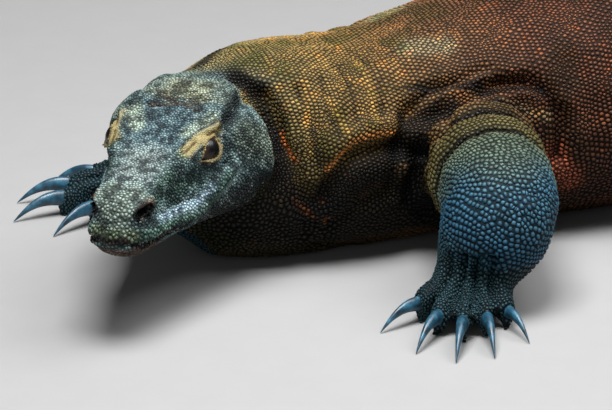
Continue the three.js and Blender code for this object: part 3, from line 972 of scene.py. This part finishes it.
# Where a place lies on the unwrapped skin of its region, from 0 to 1 each way.
def chartOf(places, region):
    if region == "head":
        spots = toHead(places)
        around = np.arctan2(np.abs(spots[:, 1]), spots[:, 2] - 5)
        return np.stack([0.03 + 0.94 * (spots[:, 0] + 240) / 250, 0.03 + 0.94 * around / math.pi], 1)
    spots = toPart(places)
    if region in legs:
        share = legDistance(spots, region)[1]
        joints = np.array(legs[region]["joints"], float)
        k = np.clip(share.astype(int), 0, 1)
        starts, ends = joints[k], joints[k + 1]
        axis = unit(ends - starts)
        arm = spots - starts
        level = unit(np.cross(axis, (0, 0, 1.0)))
        over = np.cross(level, axis)
        around = np.arctan2((arm * over).sum(1), (arm * level).sum(1)) / (2 * math.pi) + 0.5
        shaft = np.stack([0.02 + 0.46 * share / 2, 0.02 + 0.96 * around], 1)
        heading = math.radians(legs[region]["heading"])
        flat = (spots - joints[2])[:, :2]
        ahead = flat @ np.array((math.cos(heading), math.sin(heading)))
        aside = flat @ np.array((-math.sin(heading), math.cos(heading)))
        under = (spots[:, 2] < 9) * 0.5
        foot = np.stack([0.52 + 0.46 * (ahead + 60) / 320, 0.02 + under + 0.46 * (aside + 130) / 260], 1)
        return np.where((share > 2)[:, None], foot, shaft)
    low, high = {"neck": (-640, -400), "trunk_front": (-430, -50), "trunk_rear": (-70, 440),
                 "tail": (420, 1875)}[region]
    sideways = np.abs(spots[:, 1] - spineAt(spots[:, 0], "y")) / spineAt(spots[:, 0], "wide")
    upward = (spots[:, 2] - spineAt(spots[:, 0], "z")) / spineAt(spots[:, 0], "high")
    around = np.arctan2(sideways, upward) / math.pi
    return np.stack([0.03 + 0.94 * (spots[:, 0] - low) / (high - low), 0.03 + 0.94 * around], 1)


# How smooth the hide is there: brow, lids, chin, and the rims of nostril and mouth have low scales.
def smoothPlaces(places):
    spots = onLeft(places)
    brow = smoothStep(6.5, 5, distanceToPath(spots, browBand))
    rim = smoothStep(7, 5, distanceToPath(spots, nostril["path"]))
    lids = smoothStep(1.75, 1.5, almondShare(spots, 1))
    chin = 0.5 * smoothStep(9, 6, distanceToPath(spots, headTouches["chin"][0]))
    mouth = smoothStep(3.6, 2.6, distanceToPath(spots, mouthLine))
    return np.maximum.reduce([brow, rim, lids, chin, mouth])


def setAttribute(mesh, key, values):
    mesh.attributes.new(key, "FLOAT", "POINT").data.foreach_set("value", values.astype(np.float32))


# The reach along fewer spokes, taken between the measured ones.
def fewerSpans(spans, turns):
    wrapped = np.concatenate([spans, spans[:, :1]], 1)
    at = turns / (2 * math.pi) * domeStyle["sides"]
    low = at.astype(int)
    return wrapped[:, low] * (1 - at + low) + wrapped[:, low + 1] * (at - low)


# Closed domes, each with a ring of walls, a fan of faces to its top and one face below.
def domeMesh(name, foot, shoulder, top):
    count, sides = foot.shape[:2]
    corners = np.concatenate([foot, shoulder, top[:, None]], 1).reshape(-1, 3)
    corners[:, 2] = np.maximum(corners[:, 2], 0.0)
    k = np.arange(sides)
    following = (k + 1) % sides
    wall = np.stack([k, following, following + sides, k + sides], 1)
    fan = np.stack([k + sides, following + sides, np.full(sides, 2 * sides)], 1)
    starts = (np.arange(count) * (2 * sides + 1))[:, None, None]
    faces = [(wall[None] + starts).reshape(-1, 4), (fan[None] + starts).reshape(-1, 3),
             (k[::-1][None] + starts[:, :, 0]).reshape(-1, sides)]
    loops = np.concatenate([kind.ravel() for kind in faces])
    totals = np.concatenate([np.full(len(kind), kind.shape[1]) for kind in faces])
    mesh = bpy.data.meshes.new(name)
    mesh.vertices.add(len(corners))
    mesh.vertices.foreach_set("co", corners.astype(np.float32).ravel())
    mesh.loops.add(len(loops))
    mesh.loops.foreach_set("vertex_index", loops.astype(np.int32))
    mesh.polygons.add(len(totals))
    mesh.polygons.foreach_set("loop_start", np.concatenate([[0], np.cumsum(totals)[:-1]]).astype(np.int32))
    mesh.update(calc_edges=True)
    mesh.shade_smooth()
    return mesh, loops, totals


def makeScalePiece(name, region, chosen, sides):
    count, per = len(chosen), 2 * sides + 1
    spans, spread = reach[chosen], spokes
    if sides != domeStyle["sides"]:
        turns = turnsOf(sides)
        spans, spread = fewerSpans(spans, turns), spokesAt(turns)
    base, up, ahead = points[chosen], normals[chosen], along[chosen]
    aside = np.cross(up, ahead)
    fill = scaleFill["head" if region == "head" else "limb" if region in legs else "body"]
    flat = (ahead[:, None] * spread[0][None, :, None] * fill[0]
            + aside[:, None] * spread[1][None, :, None] * fill[1])
    lift = scaleRise.get(region, scaleRise["leg"]) * sizes[chosen] * (0.85 + 0.3 * dice.random(count))
    small = spans.mean(1) / (sizes[chosen] * 0.52)
    lift = lift * np.clip(small, 0.5, 1.1) * (1 - 0.6 * smoothPlaces(toHead(base)))

    def ring(share, rise):
        return base[:, None] + flat * (spans * share)[:, :, None] + up[:, None] * rise[:, None, None]

    foot = ring(1.0, -domeStyle["sink"] * mm - 0.12 * lift)
    shoulder = ring(domeStyle["shoulder"], lift * domeStyle["shoulderRise"])
    mesh, loops, totals = domeMesh(name, foot, shoulder, base + up * lift[:, None])
    # the baking map: a small patch for every scale at its root's place on the unwrapped skin
    chart = chartOf(base, region)
    patch = (spread.T[None] * (spans / spans.max(1, keepdims=True))[:, :, None]) * 0.0015
    spots = np.concatenate([patch, patch * domeStyle["shoulder"], np.zeros((count, 1, 2))], 1)
    spots = (spots + chart[:, None]).reshape(-1, 2)
    layer = mesh.uv_layers.new(name="OFBake")
    layer.data.foreach_set("uv", spots[loops].astype(np.float32).ravel())
    rise = np.tile(np.concatenate([np.zeros(sides), np.full(sides, 0.62), [1.0]]), count)
    bead = np.repeat(dice.random(count), per)
    tone = np.repeat(dice.random(count), per)
    for key, values in {"rise": rise, "bead": bead, "tone": tone}.items():
        setAttribute(mesh, key, values)
    paintMesh(mesh, base, per)
    piece = bpy.data.objects.new(name, mesh)
    bpy.context.collection.objects.link(piece)
    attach(piece, "root")
    triangles = int((totals - 2).sum())
    print(name, count, "scales,", triangles, "triangles")
    return piece


def makeCoat():
    pieces = []
    sideOf = np.where(toHead(points)[:, 1] > 0, 1, -1)
    bodySide = np.where(toPart(points)[:, 1] < spineAt(toPart(points)[:, 0], "y"), 1, -1)
    for k, region in enumerate(regionNames):
        mine = regions == k
        sides = domeStyle["sides"] if region in ("head", "neck", "fore_left") else domeStyle["plainSides"]
        halves = {"": mine}
        if region not in legs:
            which = sideOf if region == "head" else bodySide
            halves = {"_left": mine & (which > 0), "_right": mine & (which < 0)}
        for suffix, part in halves.items():
            piece = makeScalePiece(f"scales_{region}{suffix}", region, np.flatnonzero(part), sides)
            pieces.append((piece, region))
    return pieces


# Colours of the hide, and the strokes of colour on it.
def tint(code):
    values = np.array([int(code[k:k + 2], 16) / 255 for k in (0, 2, 4)])
    return np.where(values <= 0.04045, values / 12.92, ((values + 0.055) / 1.055) ** 2.4)


spinePaint = {"x": [-620, -560, -480, -400, -330, -220, -60, 200, 430, 800, 1870],
              "colours": ["6a6b52", "72653f", "7a6238", "664a30", "563624", "503022", "4c3022", "493426",
                          "4e3d2c", "43392e", "38332b"]}
headPaint = {"base": "657c7d", "throat": "241b14", "lid": "8f8056", "lowerLid": "6a6042", "lidEdge": "1c0f08"}
legPaint = {"at": [0, 0.3, 0.60, 0.72, 0.84, 1.02, 1.45, 1.75, 2.05, 2.5],
            "fore": ["41361f", "524427", "57502f", "58624e", "486060", "2e556a", "254d64", "264652", "1e363c",
                     "253e45"],
            "foreTop": "56624f",
            "hind": ["43372a", "4c3f2c", "4b4233", "484638", "414541", "38454a", "304149", "28363d", "1f2a2e",
                     "243034"]}
bodyTouches = {  # path of stations and degrees from the back, how broad, colour, strength
    # painted shade under the gular fold and along the throat
    "gular shade": [[(-524, 116), (-506, 97), (-478, 90), (-436, 86)], 18, "0c0a08", 0.95],
    "painted shade under the gular": [[(-590, 120), (-540, 124), (-500, 124), (-440, 118)], 36, "0e0b09", 0.85],
    "throat wrinkle": [[(-548, 104), (-530, 116), (-512, 120)], 2.6, "8a4a22", 0.6],
    "throat wrinkle two": [[(-520, 108), (-514, 124)], 2.2, "84502a", 0.5],
    "gular edge": [[(-517, 86), (-505, 77), (-495, 73), (-479, 71), (-462, 72)], 3.4, "c08048", 1],
    "fold shade": [[(-592, 12), (-573, 20), (-562, 29), (-557, 39), (-555, 52), (-555, 66), (-554, 80),
                    (-549, 100), (-540, 128)], 9, "110e0b", 0.92],
    # painted shade in the creases of the neck folds
    "shade in fold two": [[(-531, 36), (-529, 62), (-525, 80), (-520, 100)], 3, "16120c", 0.7],
    "shade in fold three": [[(-509, 34), (-511, 52), (-507, 68)], 2.6, "16120c", 0.6],
    "shade in fold four": [[(-488, 28), (-486, 46), (-490, 62)], 2.6, "16120c", 0.6],
    "shade in fold five": [[(-462, 26), (-460, 46), (-466, 62)], 2.4, "16120c", 0.5],
    "fold edge": [[(-550, 62), (-547, 72), (-543, 80)], 2.6, "b06632", 0.95],
    "ochre one": [[(-510, 46), (-505, 56), (-500, 68)], 3.4, "b8904c", 0.7],
    "ochre two": [[(-524, 34), (-527, 48), (-531, 60)], 3.2, "a98548", 0.6],
    "ochre three": [[(-470, 28), (-470, 48), (-474, 64)], 3.4, "b08c4c", 0.6],
    "nape patch": [[(-420, 25), (-396, 31)], 12, "94896a", 0.65],
    "wrinkle pale": [[(-368, 69), (-348, 74), (-336, 77), (-324, 80)], 5, "8a7658", 0.75],
    "rust behind arm": [[(-318, 100), (-308, 112)], 14, "a2563c", 0.7],
    # painted shade in the armpit under the fore leg
    "armpit shade": [[(-420, 122), (-380, 128)], 26, "0e0b09", 0.8],
}
headTouches = {  # path, how broad, colour, strength
    "crown": [[(-110, 0, 50), (-145, 0, 56)], 32, "4a626c", 0.7],
    "crown left": [[(-120, 24, 52), (-142, 34, 55)], 8, "9fae9a", 0.75],
    "rear crown": [[(-176, -26, 58), (-176, 0, 62), (-172, 14, 60)], 16, "8a8a6a", 0.75],
    "rear crown side": [[(-176, 30, 60), (-196, 34, 58)], 12, "5f7474", 0.7],
    "crease ochre": [[(-148, -22, 56), (-156, 0, 60), (-160, 15, 60)], 2.4, "4a3420", 0.8],
    "snout top": [[(-56, 0, 42), (-82, 0, 45)], 20, "93a09c", 0.7],
    "snout side": [[(-46, 30, 26), (-70, 31, 30)], 9, "3f5a4c", 0.8],
    "snout tip": [[(-10, 4, 24), (-30, 10, 33)], 12, "8c9a8c", 0.7],
    # painted shade in the hollow before the eye
    "hollow": [[(-66, 36, 20), (-84, 40, 24), (-100, 44, 23)], 8, "1d3a30", 0.9],
    "brow shade": [[(-88, 28, 41), (-98, 31, 44)], 5, "7c875f", 0.8],
    "brow": [browBand, 6.2, "968a60", 1],
    # painted shade in the brow creases
    "brow crease shade": [browCrease, 1.4, "3a2814", 0.9],
    "brow lower crease": [[(-96, 37, 38), (-108, 41, 42), (-124, 46, 44), (-138, 49, 42)], 1.4,
                          "2e1f10", 0.9],
    # painted shade in the fold behind the head
    "rear fold": [[(-216, 24, 56), (-214, 38, 51), (-211, 46, 42), (-206, 55, 29), (-197, 64, 15),
                   (-189, 70, 1), (-185, 71, -15), (-190, 62, -40)], 8, "13100d", 0.92],
    "under lid": [[(-104, 44, 26), (-118, 49, 25)], 4, "7d5a30", 0.5],
    "nostril rim": [[(-20, 21, 23), (-26, 24.5, 24.5), (-33, 28, 26.5)], 5.4, "8a6a4c", 0.85],
    # painted shade inside the nostril opening
    "nostril": [nostril["path"], 3.4, "140a07", 1],
    "lip light": [[(-44, 33, 11), (-66, 37, 9), (-90, 42, 4), (-112, 48, 9)], 3.4, "9db8c8", 0.85],
    "upper lip": [[(-12, 24, 5), (-40, 33, 0), (-66, 38, -5), (-92, 43, -8), (-112, 48, 0), (-132, 54, 8)],
                  6, "48695a", 0.85],
    "lip front": [[(-2, 0, 8), (-8, 18, 7)], 7, "6d7a58", 0.8],
    "chin": [[(-4, 0, -12), (-14, 18, -14), (-40, 28, -19)], 9, "4a3020", 0.95],
    # painted shade in the mouth line between the lips
    "mouth": [mouthLine, 2.8, "35160c", 0.95],
    "cheek": [[(-160, 60, 32), (-178, 62, 14)], 18, "5a6352", 0.8],
    "ear": [[(-182, 66, 22), (-186, 68, 12)], 3, "a8a88a", 0.7],
    # painted shade in the temple groove
    "temple groove": [[(-146, 46, 49), (-174, 45, 54), (-196, 44, 54)], 7, "141918", 0.9],
    "jaw shade": [[(-110, 46, -24), (-150, 60, -12), (-172, 66, -14)], 16, "1c1a17", 0.9],
}


def blend(colour, other, weight):
    return colour * (1 - weight)[:, None] + other * weight[:, None]


def blendAlong(values, at, colours):
    linear = np.array([tint(code) for code in colours])
    return np.stack([np.interp(values, at, linear[:, k]) for k in range(3)], 1)


# The head's own colours fade out behind the jaw and nape.
def headWeight(places):
    x, y, z = places.T
    rear = np.interp(z, [-60, -34, -15, 8, 30, 44, 60], [-118, -150, -178, -186, -193, -198, -206])
    soft = 4 + 20 * smoothStep(44, 58, z)
    return smoothStep(rear - soft, rear + soft, x) * (np.abs(y) < 80) * (z > -62) * (z < 95) * (x < 40)


def lidsPainted(face, spots):
    for side in (1, -1):
        share = almondShare(spots, side)
        rise = ((spots - np.array(headLay["eye"]) * (1, side, 1)) @ eyeFrame(side))[:, 1]
        low = smoothStep(1, -3, rise)
        lid = blend(tint(headPaint["lid"]), tint(headPaint["lowerLid"]), low)
        face = blend(face, lid, smoothStep(1.8, 1.45, share - 0.3 * low))
        face = blend(face, tint(headPaint["lidEdge"]), smoothStep(1.16, 1.04, share))
    return face


def touched(colour, places, near, touches, linesOf):
    for path, broad, code, strength in touches.values():
        weight = np.zeros(len(places))
        for line in linesOf(path):
            reached = strength * np.exp(-(distanceToPath(places[near], line) / broad) ** 4)
            weight[near] = np.maximum(weight[near], reached)
        colour = blend(colour, tint(code), weight)
    return colour


def onSkin(path):
    lines = []
    for line in (path, mirrored(path)):
        spots = [skinTree.find_nearest(Vector(spot))[0] for spot in fromHead(np.array(line, float))]
        lines.append(toHead(np.array(spots)))
    return lines


def paintOf(points):
    places, inHead = toPart(points), toHead(points)
    colour = blendAlong(places[:, 0], spinePaint["x"], spinePaint["colours"])
    height = (places[:, 2] - spineAt(places[:, 0], "z")) / spineAt(places[:, 0], "high")
    # painted shade: the hide is darkened towards the underside, most under the throat
    throat = smoothStep(-400, -480, places[:, 0])
    down = smoothStep(0.45 * throat + 0.25, -0.6, height)
    colour = colour * (1 - down * (0.55 + 0.25 * throat))[:, None]
    colour = touched(colour, places, places[:, 0] < -250, bodyTouches,
                     lambda path: bothSides(path, skinTree))
    limb = np.zeros(len(points))
    aside = np.abs(places[:, 1] - spineAt(places[:, 0], "y"))
    for name in legs:
        off, along = legDistance(places, name)
        reachOut = np.linalg.norm(places[:, :2] - np.array(legs[name]["joints"][2][:2]), axis=1)
        onToes = (places[:, 2] < 45) & (aside > 150) & (reachOut < 270)
        off, along = np.where(onToes, 0.8, off), np.where(onToes, np.maximum(along, 2.1), along)
        weight = smoothStep(1.5, 1.15, off) * smoothStep(0.2, 0.5, along)
        limb = np.maximum(limb, weight)
        onLimb = blendAlong(along, legPaint["at"], legPaint[legs[name]["kind"]])
        if name in foreLegs:
            shade = (1 - 0.9 * np.clip(-ringLift(points, name) / 2.6, 0, 1))[:, None]
            high = 0.75 * smoothStep(104, 132, places[:, 2]) * smoothStep(0.65, 0.8, along)
            colour = colour * shade
            onLimb = blend(onLimb, tint(legPaint["foreTop"]), high) * shade
        colour = blend(colour, onLimb, weight)
    onFace = headWeight(inHead)
    face = np.tile(tint(headPaint["base"]), (len(points), 1))
    # the throat below the jaw is darker: partly the hide's own dark colour, partly painted shade
    face = blend(face, tint(headPaint["throat"]), smoothStep(-12, -24, inHead[:, 2]))
    face = touched(face, inHead, onFace > 0, headTouches, onSkin)
    face = lidsPainted(face, inHead)
    # painted shade deep in each nostril
    for side in (1, -1):
        nostrilShadeLine = np.array(nostril["path"]) * (1, side, 1) - np.array([0.5, side * 3.2, 3])
        face = face * smoothStep(4.1, 5.3, distanceToPath(inHead, nostrilShadeLine))[:, None]
    colour = blend(colour, face, onFace)
    # the painted shade of the fold behind the head, laid on the neck as well
    colour = touched(colour, inHead, np.abs(inHead[:, 0] + 196) < 40, {"fold": headTouches["rear fold"]},
                     lambda path: (path, mirrored(path)))
    return colour, {"face": onFace, "limb": limb, "plain": smoothPlaces(inHead) * onFace}


def paintMesh(mesh, places, repeat=1):
    colour, shares = paintOf(places)
    layer = mesh.color_attributes.new("paint", "FLOAT_COLOR", "POINT")
    colour = np.concatenate([colour, np.ones((len(colour), 1))], 1)
    layer.data.foreach_set("color", np.repeat(colour, repeat, axis=0).astype(np.float32).ravel())
    for key, values in shares.items():
        setAttribute(mesh, key, np.repeat(values, repeat))


# A link in a material's node tree, which can be reckoned with as a number can.
class Wire:
    def __init__(self, tree, link):
        self.tree, self.link = tree, link

    def node(self, kind, settings=None, **inputs):
        made = self.tree.nodes.new(kind)
        for key, value in (settings or {}).items():
            if key == "ramp":
                ramp = made.color_ramp
                while len(ramp.elements) < len(value):
                    ramp.elements.new(0.5)
                for element, (at, colour) in zip(ramp.elements, value):
                    element.position = at
                    element.color = (*colour, 1)
            else:
                setattr(made, key, value)
        for key, value in inputs.items():
            socket = made.inputs[int(key[1:]) if key[1:].isdigit() else key.replace("_", " ")]
            if isinstance(value, Wire):
                self.tree.links.new(value.link, socket)
            else:
                socket.default_value = value
        return made

    def out(self, made, name=0):
        return Wire(self.tree, made.outputs[name])

    def math(self, operation, other, first=None):
        first = self if first is None else first
        return self.out(self.node("ShaderNodeMath", {"operation": operation}, i0=first, i1=other))

    def __add__(self, other):
        return self.math("ADD", other)

    __radd__ = __add__

    def __sub__(self, other):
        return self.math("SUBTRACT", other)

    def __rsub__(self, other):
        return self.math("SUBTRACT", self, first=other)

    def __mul__(self, other):
        return self.math("MULTIPLY", other)

    __rmul__ = __mul__

    def __truediv__(self, other):
        return self.math("DIVIDE", other)

    def between(self, low, high):
        ranged = self.node("ShaderNodeMapRange", {"interpolation_type": "SMOOTHSTEP"},
                           Value=self, From_Min=low, From_Max=high)
        return self.out(ranged)

    def grey(self, value):
        return self.out(self.node("ShaderNodeCombineColor", None, Red=value, Green=value, Blue=value))

    def noise(self, scale, detail=3.0, rough=0.55):
        made = self.node("ShaderNodeTexNoise", None, Vector=self, Scale=scale, Detail=detail, Roughness=rough)
        return self.out(made, "Fac")

    def mixed(self, other, factor, way="MIX"):
        settings = {"data_type": "RGBA", "blend_type": way}
        return self.out(self.node("ShaderNodeMix", settings, i0=factor, i6=self, i7=other), 2)

    def ramped(self, *stops):
        ramp = [(at, tint(code)) for at, code in stops]
        return self.out(self.node("ShaderNodeValToRGB", {"ramp": ramp}, Fac=self), "Color")

    def vector(self, operation, other, output):
        made = self.node("ShaderNodeVectorMath", {"operation": operation}, i0=self, i1=other)
        return self.out(made, output)

    def bumped(self, strength, distance):
        return self.out(self.node("ShaderNodeBump", None, Strength=strength, Distance=distance, Height=self))


def newMaterial(name, **constants):
    material = bpy.data.materials.new(name)
    material.use_nodes = True
    shader = material.node_tree.nodes["Principled BSDF"]
    for key, value in constants.items():
        shader.inputs[key.replace("_", " ")].default_value = value
    place = Wire(material.node_tree, None)
    place.link = place.node("ShaderNodeTexCoord").outputs["Object"]
    return material, shader, place


def wire(shader, wires):
    for key, value in wires.items():
        value.tree.links.new(value.link, shader.inputs[key])


hideStyle = {"pale": "a9bab4", "dark": "131c20", "bodyPale": (2.2, 2.0, 1.5), "warm": (1.25, 0.85, 0.6),
             "green": (0.62, 0.8, 0.55), "grain": 900, "mid": 230, "patch": 90, "broad": 24}


def attribute(place, name, output="Fac"):
    return place.out(place.node("ShaderNodeAttribute", {"attribute_name": name}), output)


def shadeOf(code):
    return (*tint(code), 1)


def hideMaterial():
    material, shader, place = newMaterial("hide", Roughness=0.5, IOR=1.45, Specular_IOR_Level=0.12,
                                          Coat_Roughness=0.36)
    paint = attribute(place, "paint", "Color")
    face, rise = attribute(place, "face"), attribute(place, "rise")
    limb, plain = attribute(place, "limb"), attribute(place, "plain")
    bead, tone = attribute(place, "bead"), attribute(place, "tone")
    broad, patch = place.noise(hideStyle["broad"], 4), place.noise(hideStyle["patch"], 3)
    mid, fine = place.noise(hideStyle["mid"], 2), place.noise(hideStyle["grain"], 2)
    rough = 1 - plain * 0.85
    light = 1 + ((bead - 0.5) * 0.55 + (broad - 0.5) * 1.3 + (patch - 0.5) * 1.0 + (mid - 0.5) * 0.7) * rough
    colour = paint.mixed(paint.grey(light), 1.0, "MULTIPLY")
    body = (1 - face) * (1 - limb)
    colour = colour.mixed((*hideStyle["warm"], 1), patch.between(0.54, 0.70) * body * 0.7, "MULTIPLY")
    colour = colour.mixed((*hideStyle["green"], 1), (1 - broad).between(0.50, 0.62) * body * 0.8, "MULTIPLY")
    flecks = tone * 0.25 + patch * 0.4 + broad * 0.45
    colour = colour.mixed((*hideStyle["bodyPale"], 1), flecks.between(0.58, 0.74) * body * 0.6, "MULTIPLY")
    spots, marks = face * rough, mid * 0.45 + patch * 0.5
    pale, dark = (marks + tone * 0.10).between(0.55, 0.70), (marks - bead * 0.10).between(0.455, 0.36)
    colour = colour.mixed(shadeOf(hideStyle["pale"]), pale * spots * 0.42)
    colour = colour.mixed(shadeOf(hideStyle["dark"]), dark * spots * 0.85)
    # the dark skin between the scales, with painted shade darkening the low walls of every scale
    groove = paint.mixed((0, 0, 0, 1), 0.9)
    colour = colour.mixed(groove, (1 - rise.between(0.1, 0.95)) * (0.94 - plain * 0.72) * (1 - face * 0.16))
    wire(shader, {"Base Color": colour, "Roughness": 0.7 - rise * 0.24 + (patch - 0.5) * 0.25,
                  "Coat Weight": rise.between(0.5, 1) * 0.3, "Normal": fine.bumped(0.35, 0.0004)})
    return material


def clawMaterial():
    material, shader, place = newMaterial("clawHorn", Coat_Weight=0.15)
    streak = place.noise(140, 4)
    colour = streak.ramped((0.3, "0c1d26"), (0.52, "1a4458"), (0.8, "36708a"))
    wire(shader, {"Base Color": colour, "Roughness": 0.3 + streak * 0.25,
                  "Normal": place.noise(420, 3).bumped(0.3, 0.0003)})
    return material


def eyeMaterial(side):
    name = "eye_left" if side > 0 else "eye_right"
    material, shader, place = newMaterial(name, Roughness=0.4, Specular_IOR_Level=0.2, Coat_Weight=0.25,
                                          Coat_Roughness=0.1)
    gaze = Vector(headTurn @ eyeFrame(side)[:, 2])
    facing = place.vector("SUBTRACT", nodeMiddle(name), "Vector").vector("DOT_PRODUCT", gaze, "Value")
    share = facing / (eyeLay["radius"] * mm)
    colour = share.ramped((0.0, "120a06"), (0.6, "170c06"), (0.76, "2c180a"), (0.82, "170c07"),
                          (0.93, "0d0704"), (0.95, "020202"))
    wire(shader, {"Base Color": colour})
    return material


coat = makeCoat()


# Under the coat the body's skin needs fewer faces than the bare folds of the head.
def thinSkin():
    group = skin.vertex_groups.new(name="thinned")
    group.add(np.flatnonzero(~onHead(coordsOf(skin.data), -150)).tolist(), 1, "REPLACE")
    applyModifier(skin, "DECIMATE", ratio=skinStyle["kept"], vertex_group="thinned")
    skin.vertex_groups.clear()
    print("skin thinned to", sum(len(face.vertices) - 2 for face in skin.data.polygons), "triangles")


thinSkin()
skinPlaces = coordsOf(skin.data)
paintMesh(skin.data, skinPlaces)
for key, value in {"rise": 0.0, "bead": 0.4, "tone": 0.5}.items():
    setAttribute(skin.data, key, np.full(len(skinPlaces), value))
hide = hideMaterial()
for piece, regionName in coat:
    piece.data.materials.append(hide)
skin.data.materials.append(hide)
horn = clawMaterial()
for claw in claws:
    claw.data.materials.clear()
    claw.data.materials.append(horn)
for eye, side in zip(eyes, (1, -1)):
    eye.data.materials.append(eyeMaterial(side))

skin.data.shade_smooth()
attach(skin, "root")
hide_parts(*[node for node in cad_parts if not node.startswith(("claw_", "eye_"))])


def makeStage():
    bpy.ops.mesh.primitive_plane_add(size=14)
    floor = bpy.context.object
    floor.name = "floor"
    material, shader, place = newMaterial("paleFloor", Roughness=0.8)
    sand = place.noise(30, 5)
    wire(shader, {"Base Color": sand.grey(0.26 + sand * 0.02)})
    floor.data.materials.append(material)
    floor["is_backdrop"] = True
    world = bpy.data.worlds.new("studio")
    world.use_nodes = True
    world.node_tree.nodes["Background"].inputs["Color"].default_value = (1, 1, 1, 1)
    world.node_tree.nodes["Background"].inputs["Strength"].default_value = 0.10
    bpy.context.scene.world = world
    bpy.context.scene.view_settings.view_transform = "Standard"
    lights = {"key": [(-720, -380, 1750), (-550, -120, 80), 60, 0.8],
              "back": [(900, -350, 2300), (800, 0, 60), 75, 2.0],
              "fill": [(-1500, -2200, 900), (-550, -120, 80), 6, 1.6]}
    for name, (spot, aimed, power, size) in lights.items():
        bpy.ops.object.light_add(type="AREA", location=inPart(*spot))
        light = bpy.context.object
        light.name = name
        light.data.energy = power
        light.data.size = size
        aim = inPart(*aimed) - light.location
        light.rotation_euler = aim.to_track_quat("-Z", "Y").to_euler()


makeStage()
sizes = {"cad": [list(corner) for corner in cadBox], "visual": [list(corner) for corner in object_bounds()]}
print("box", sizes)
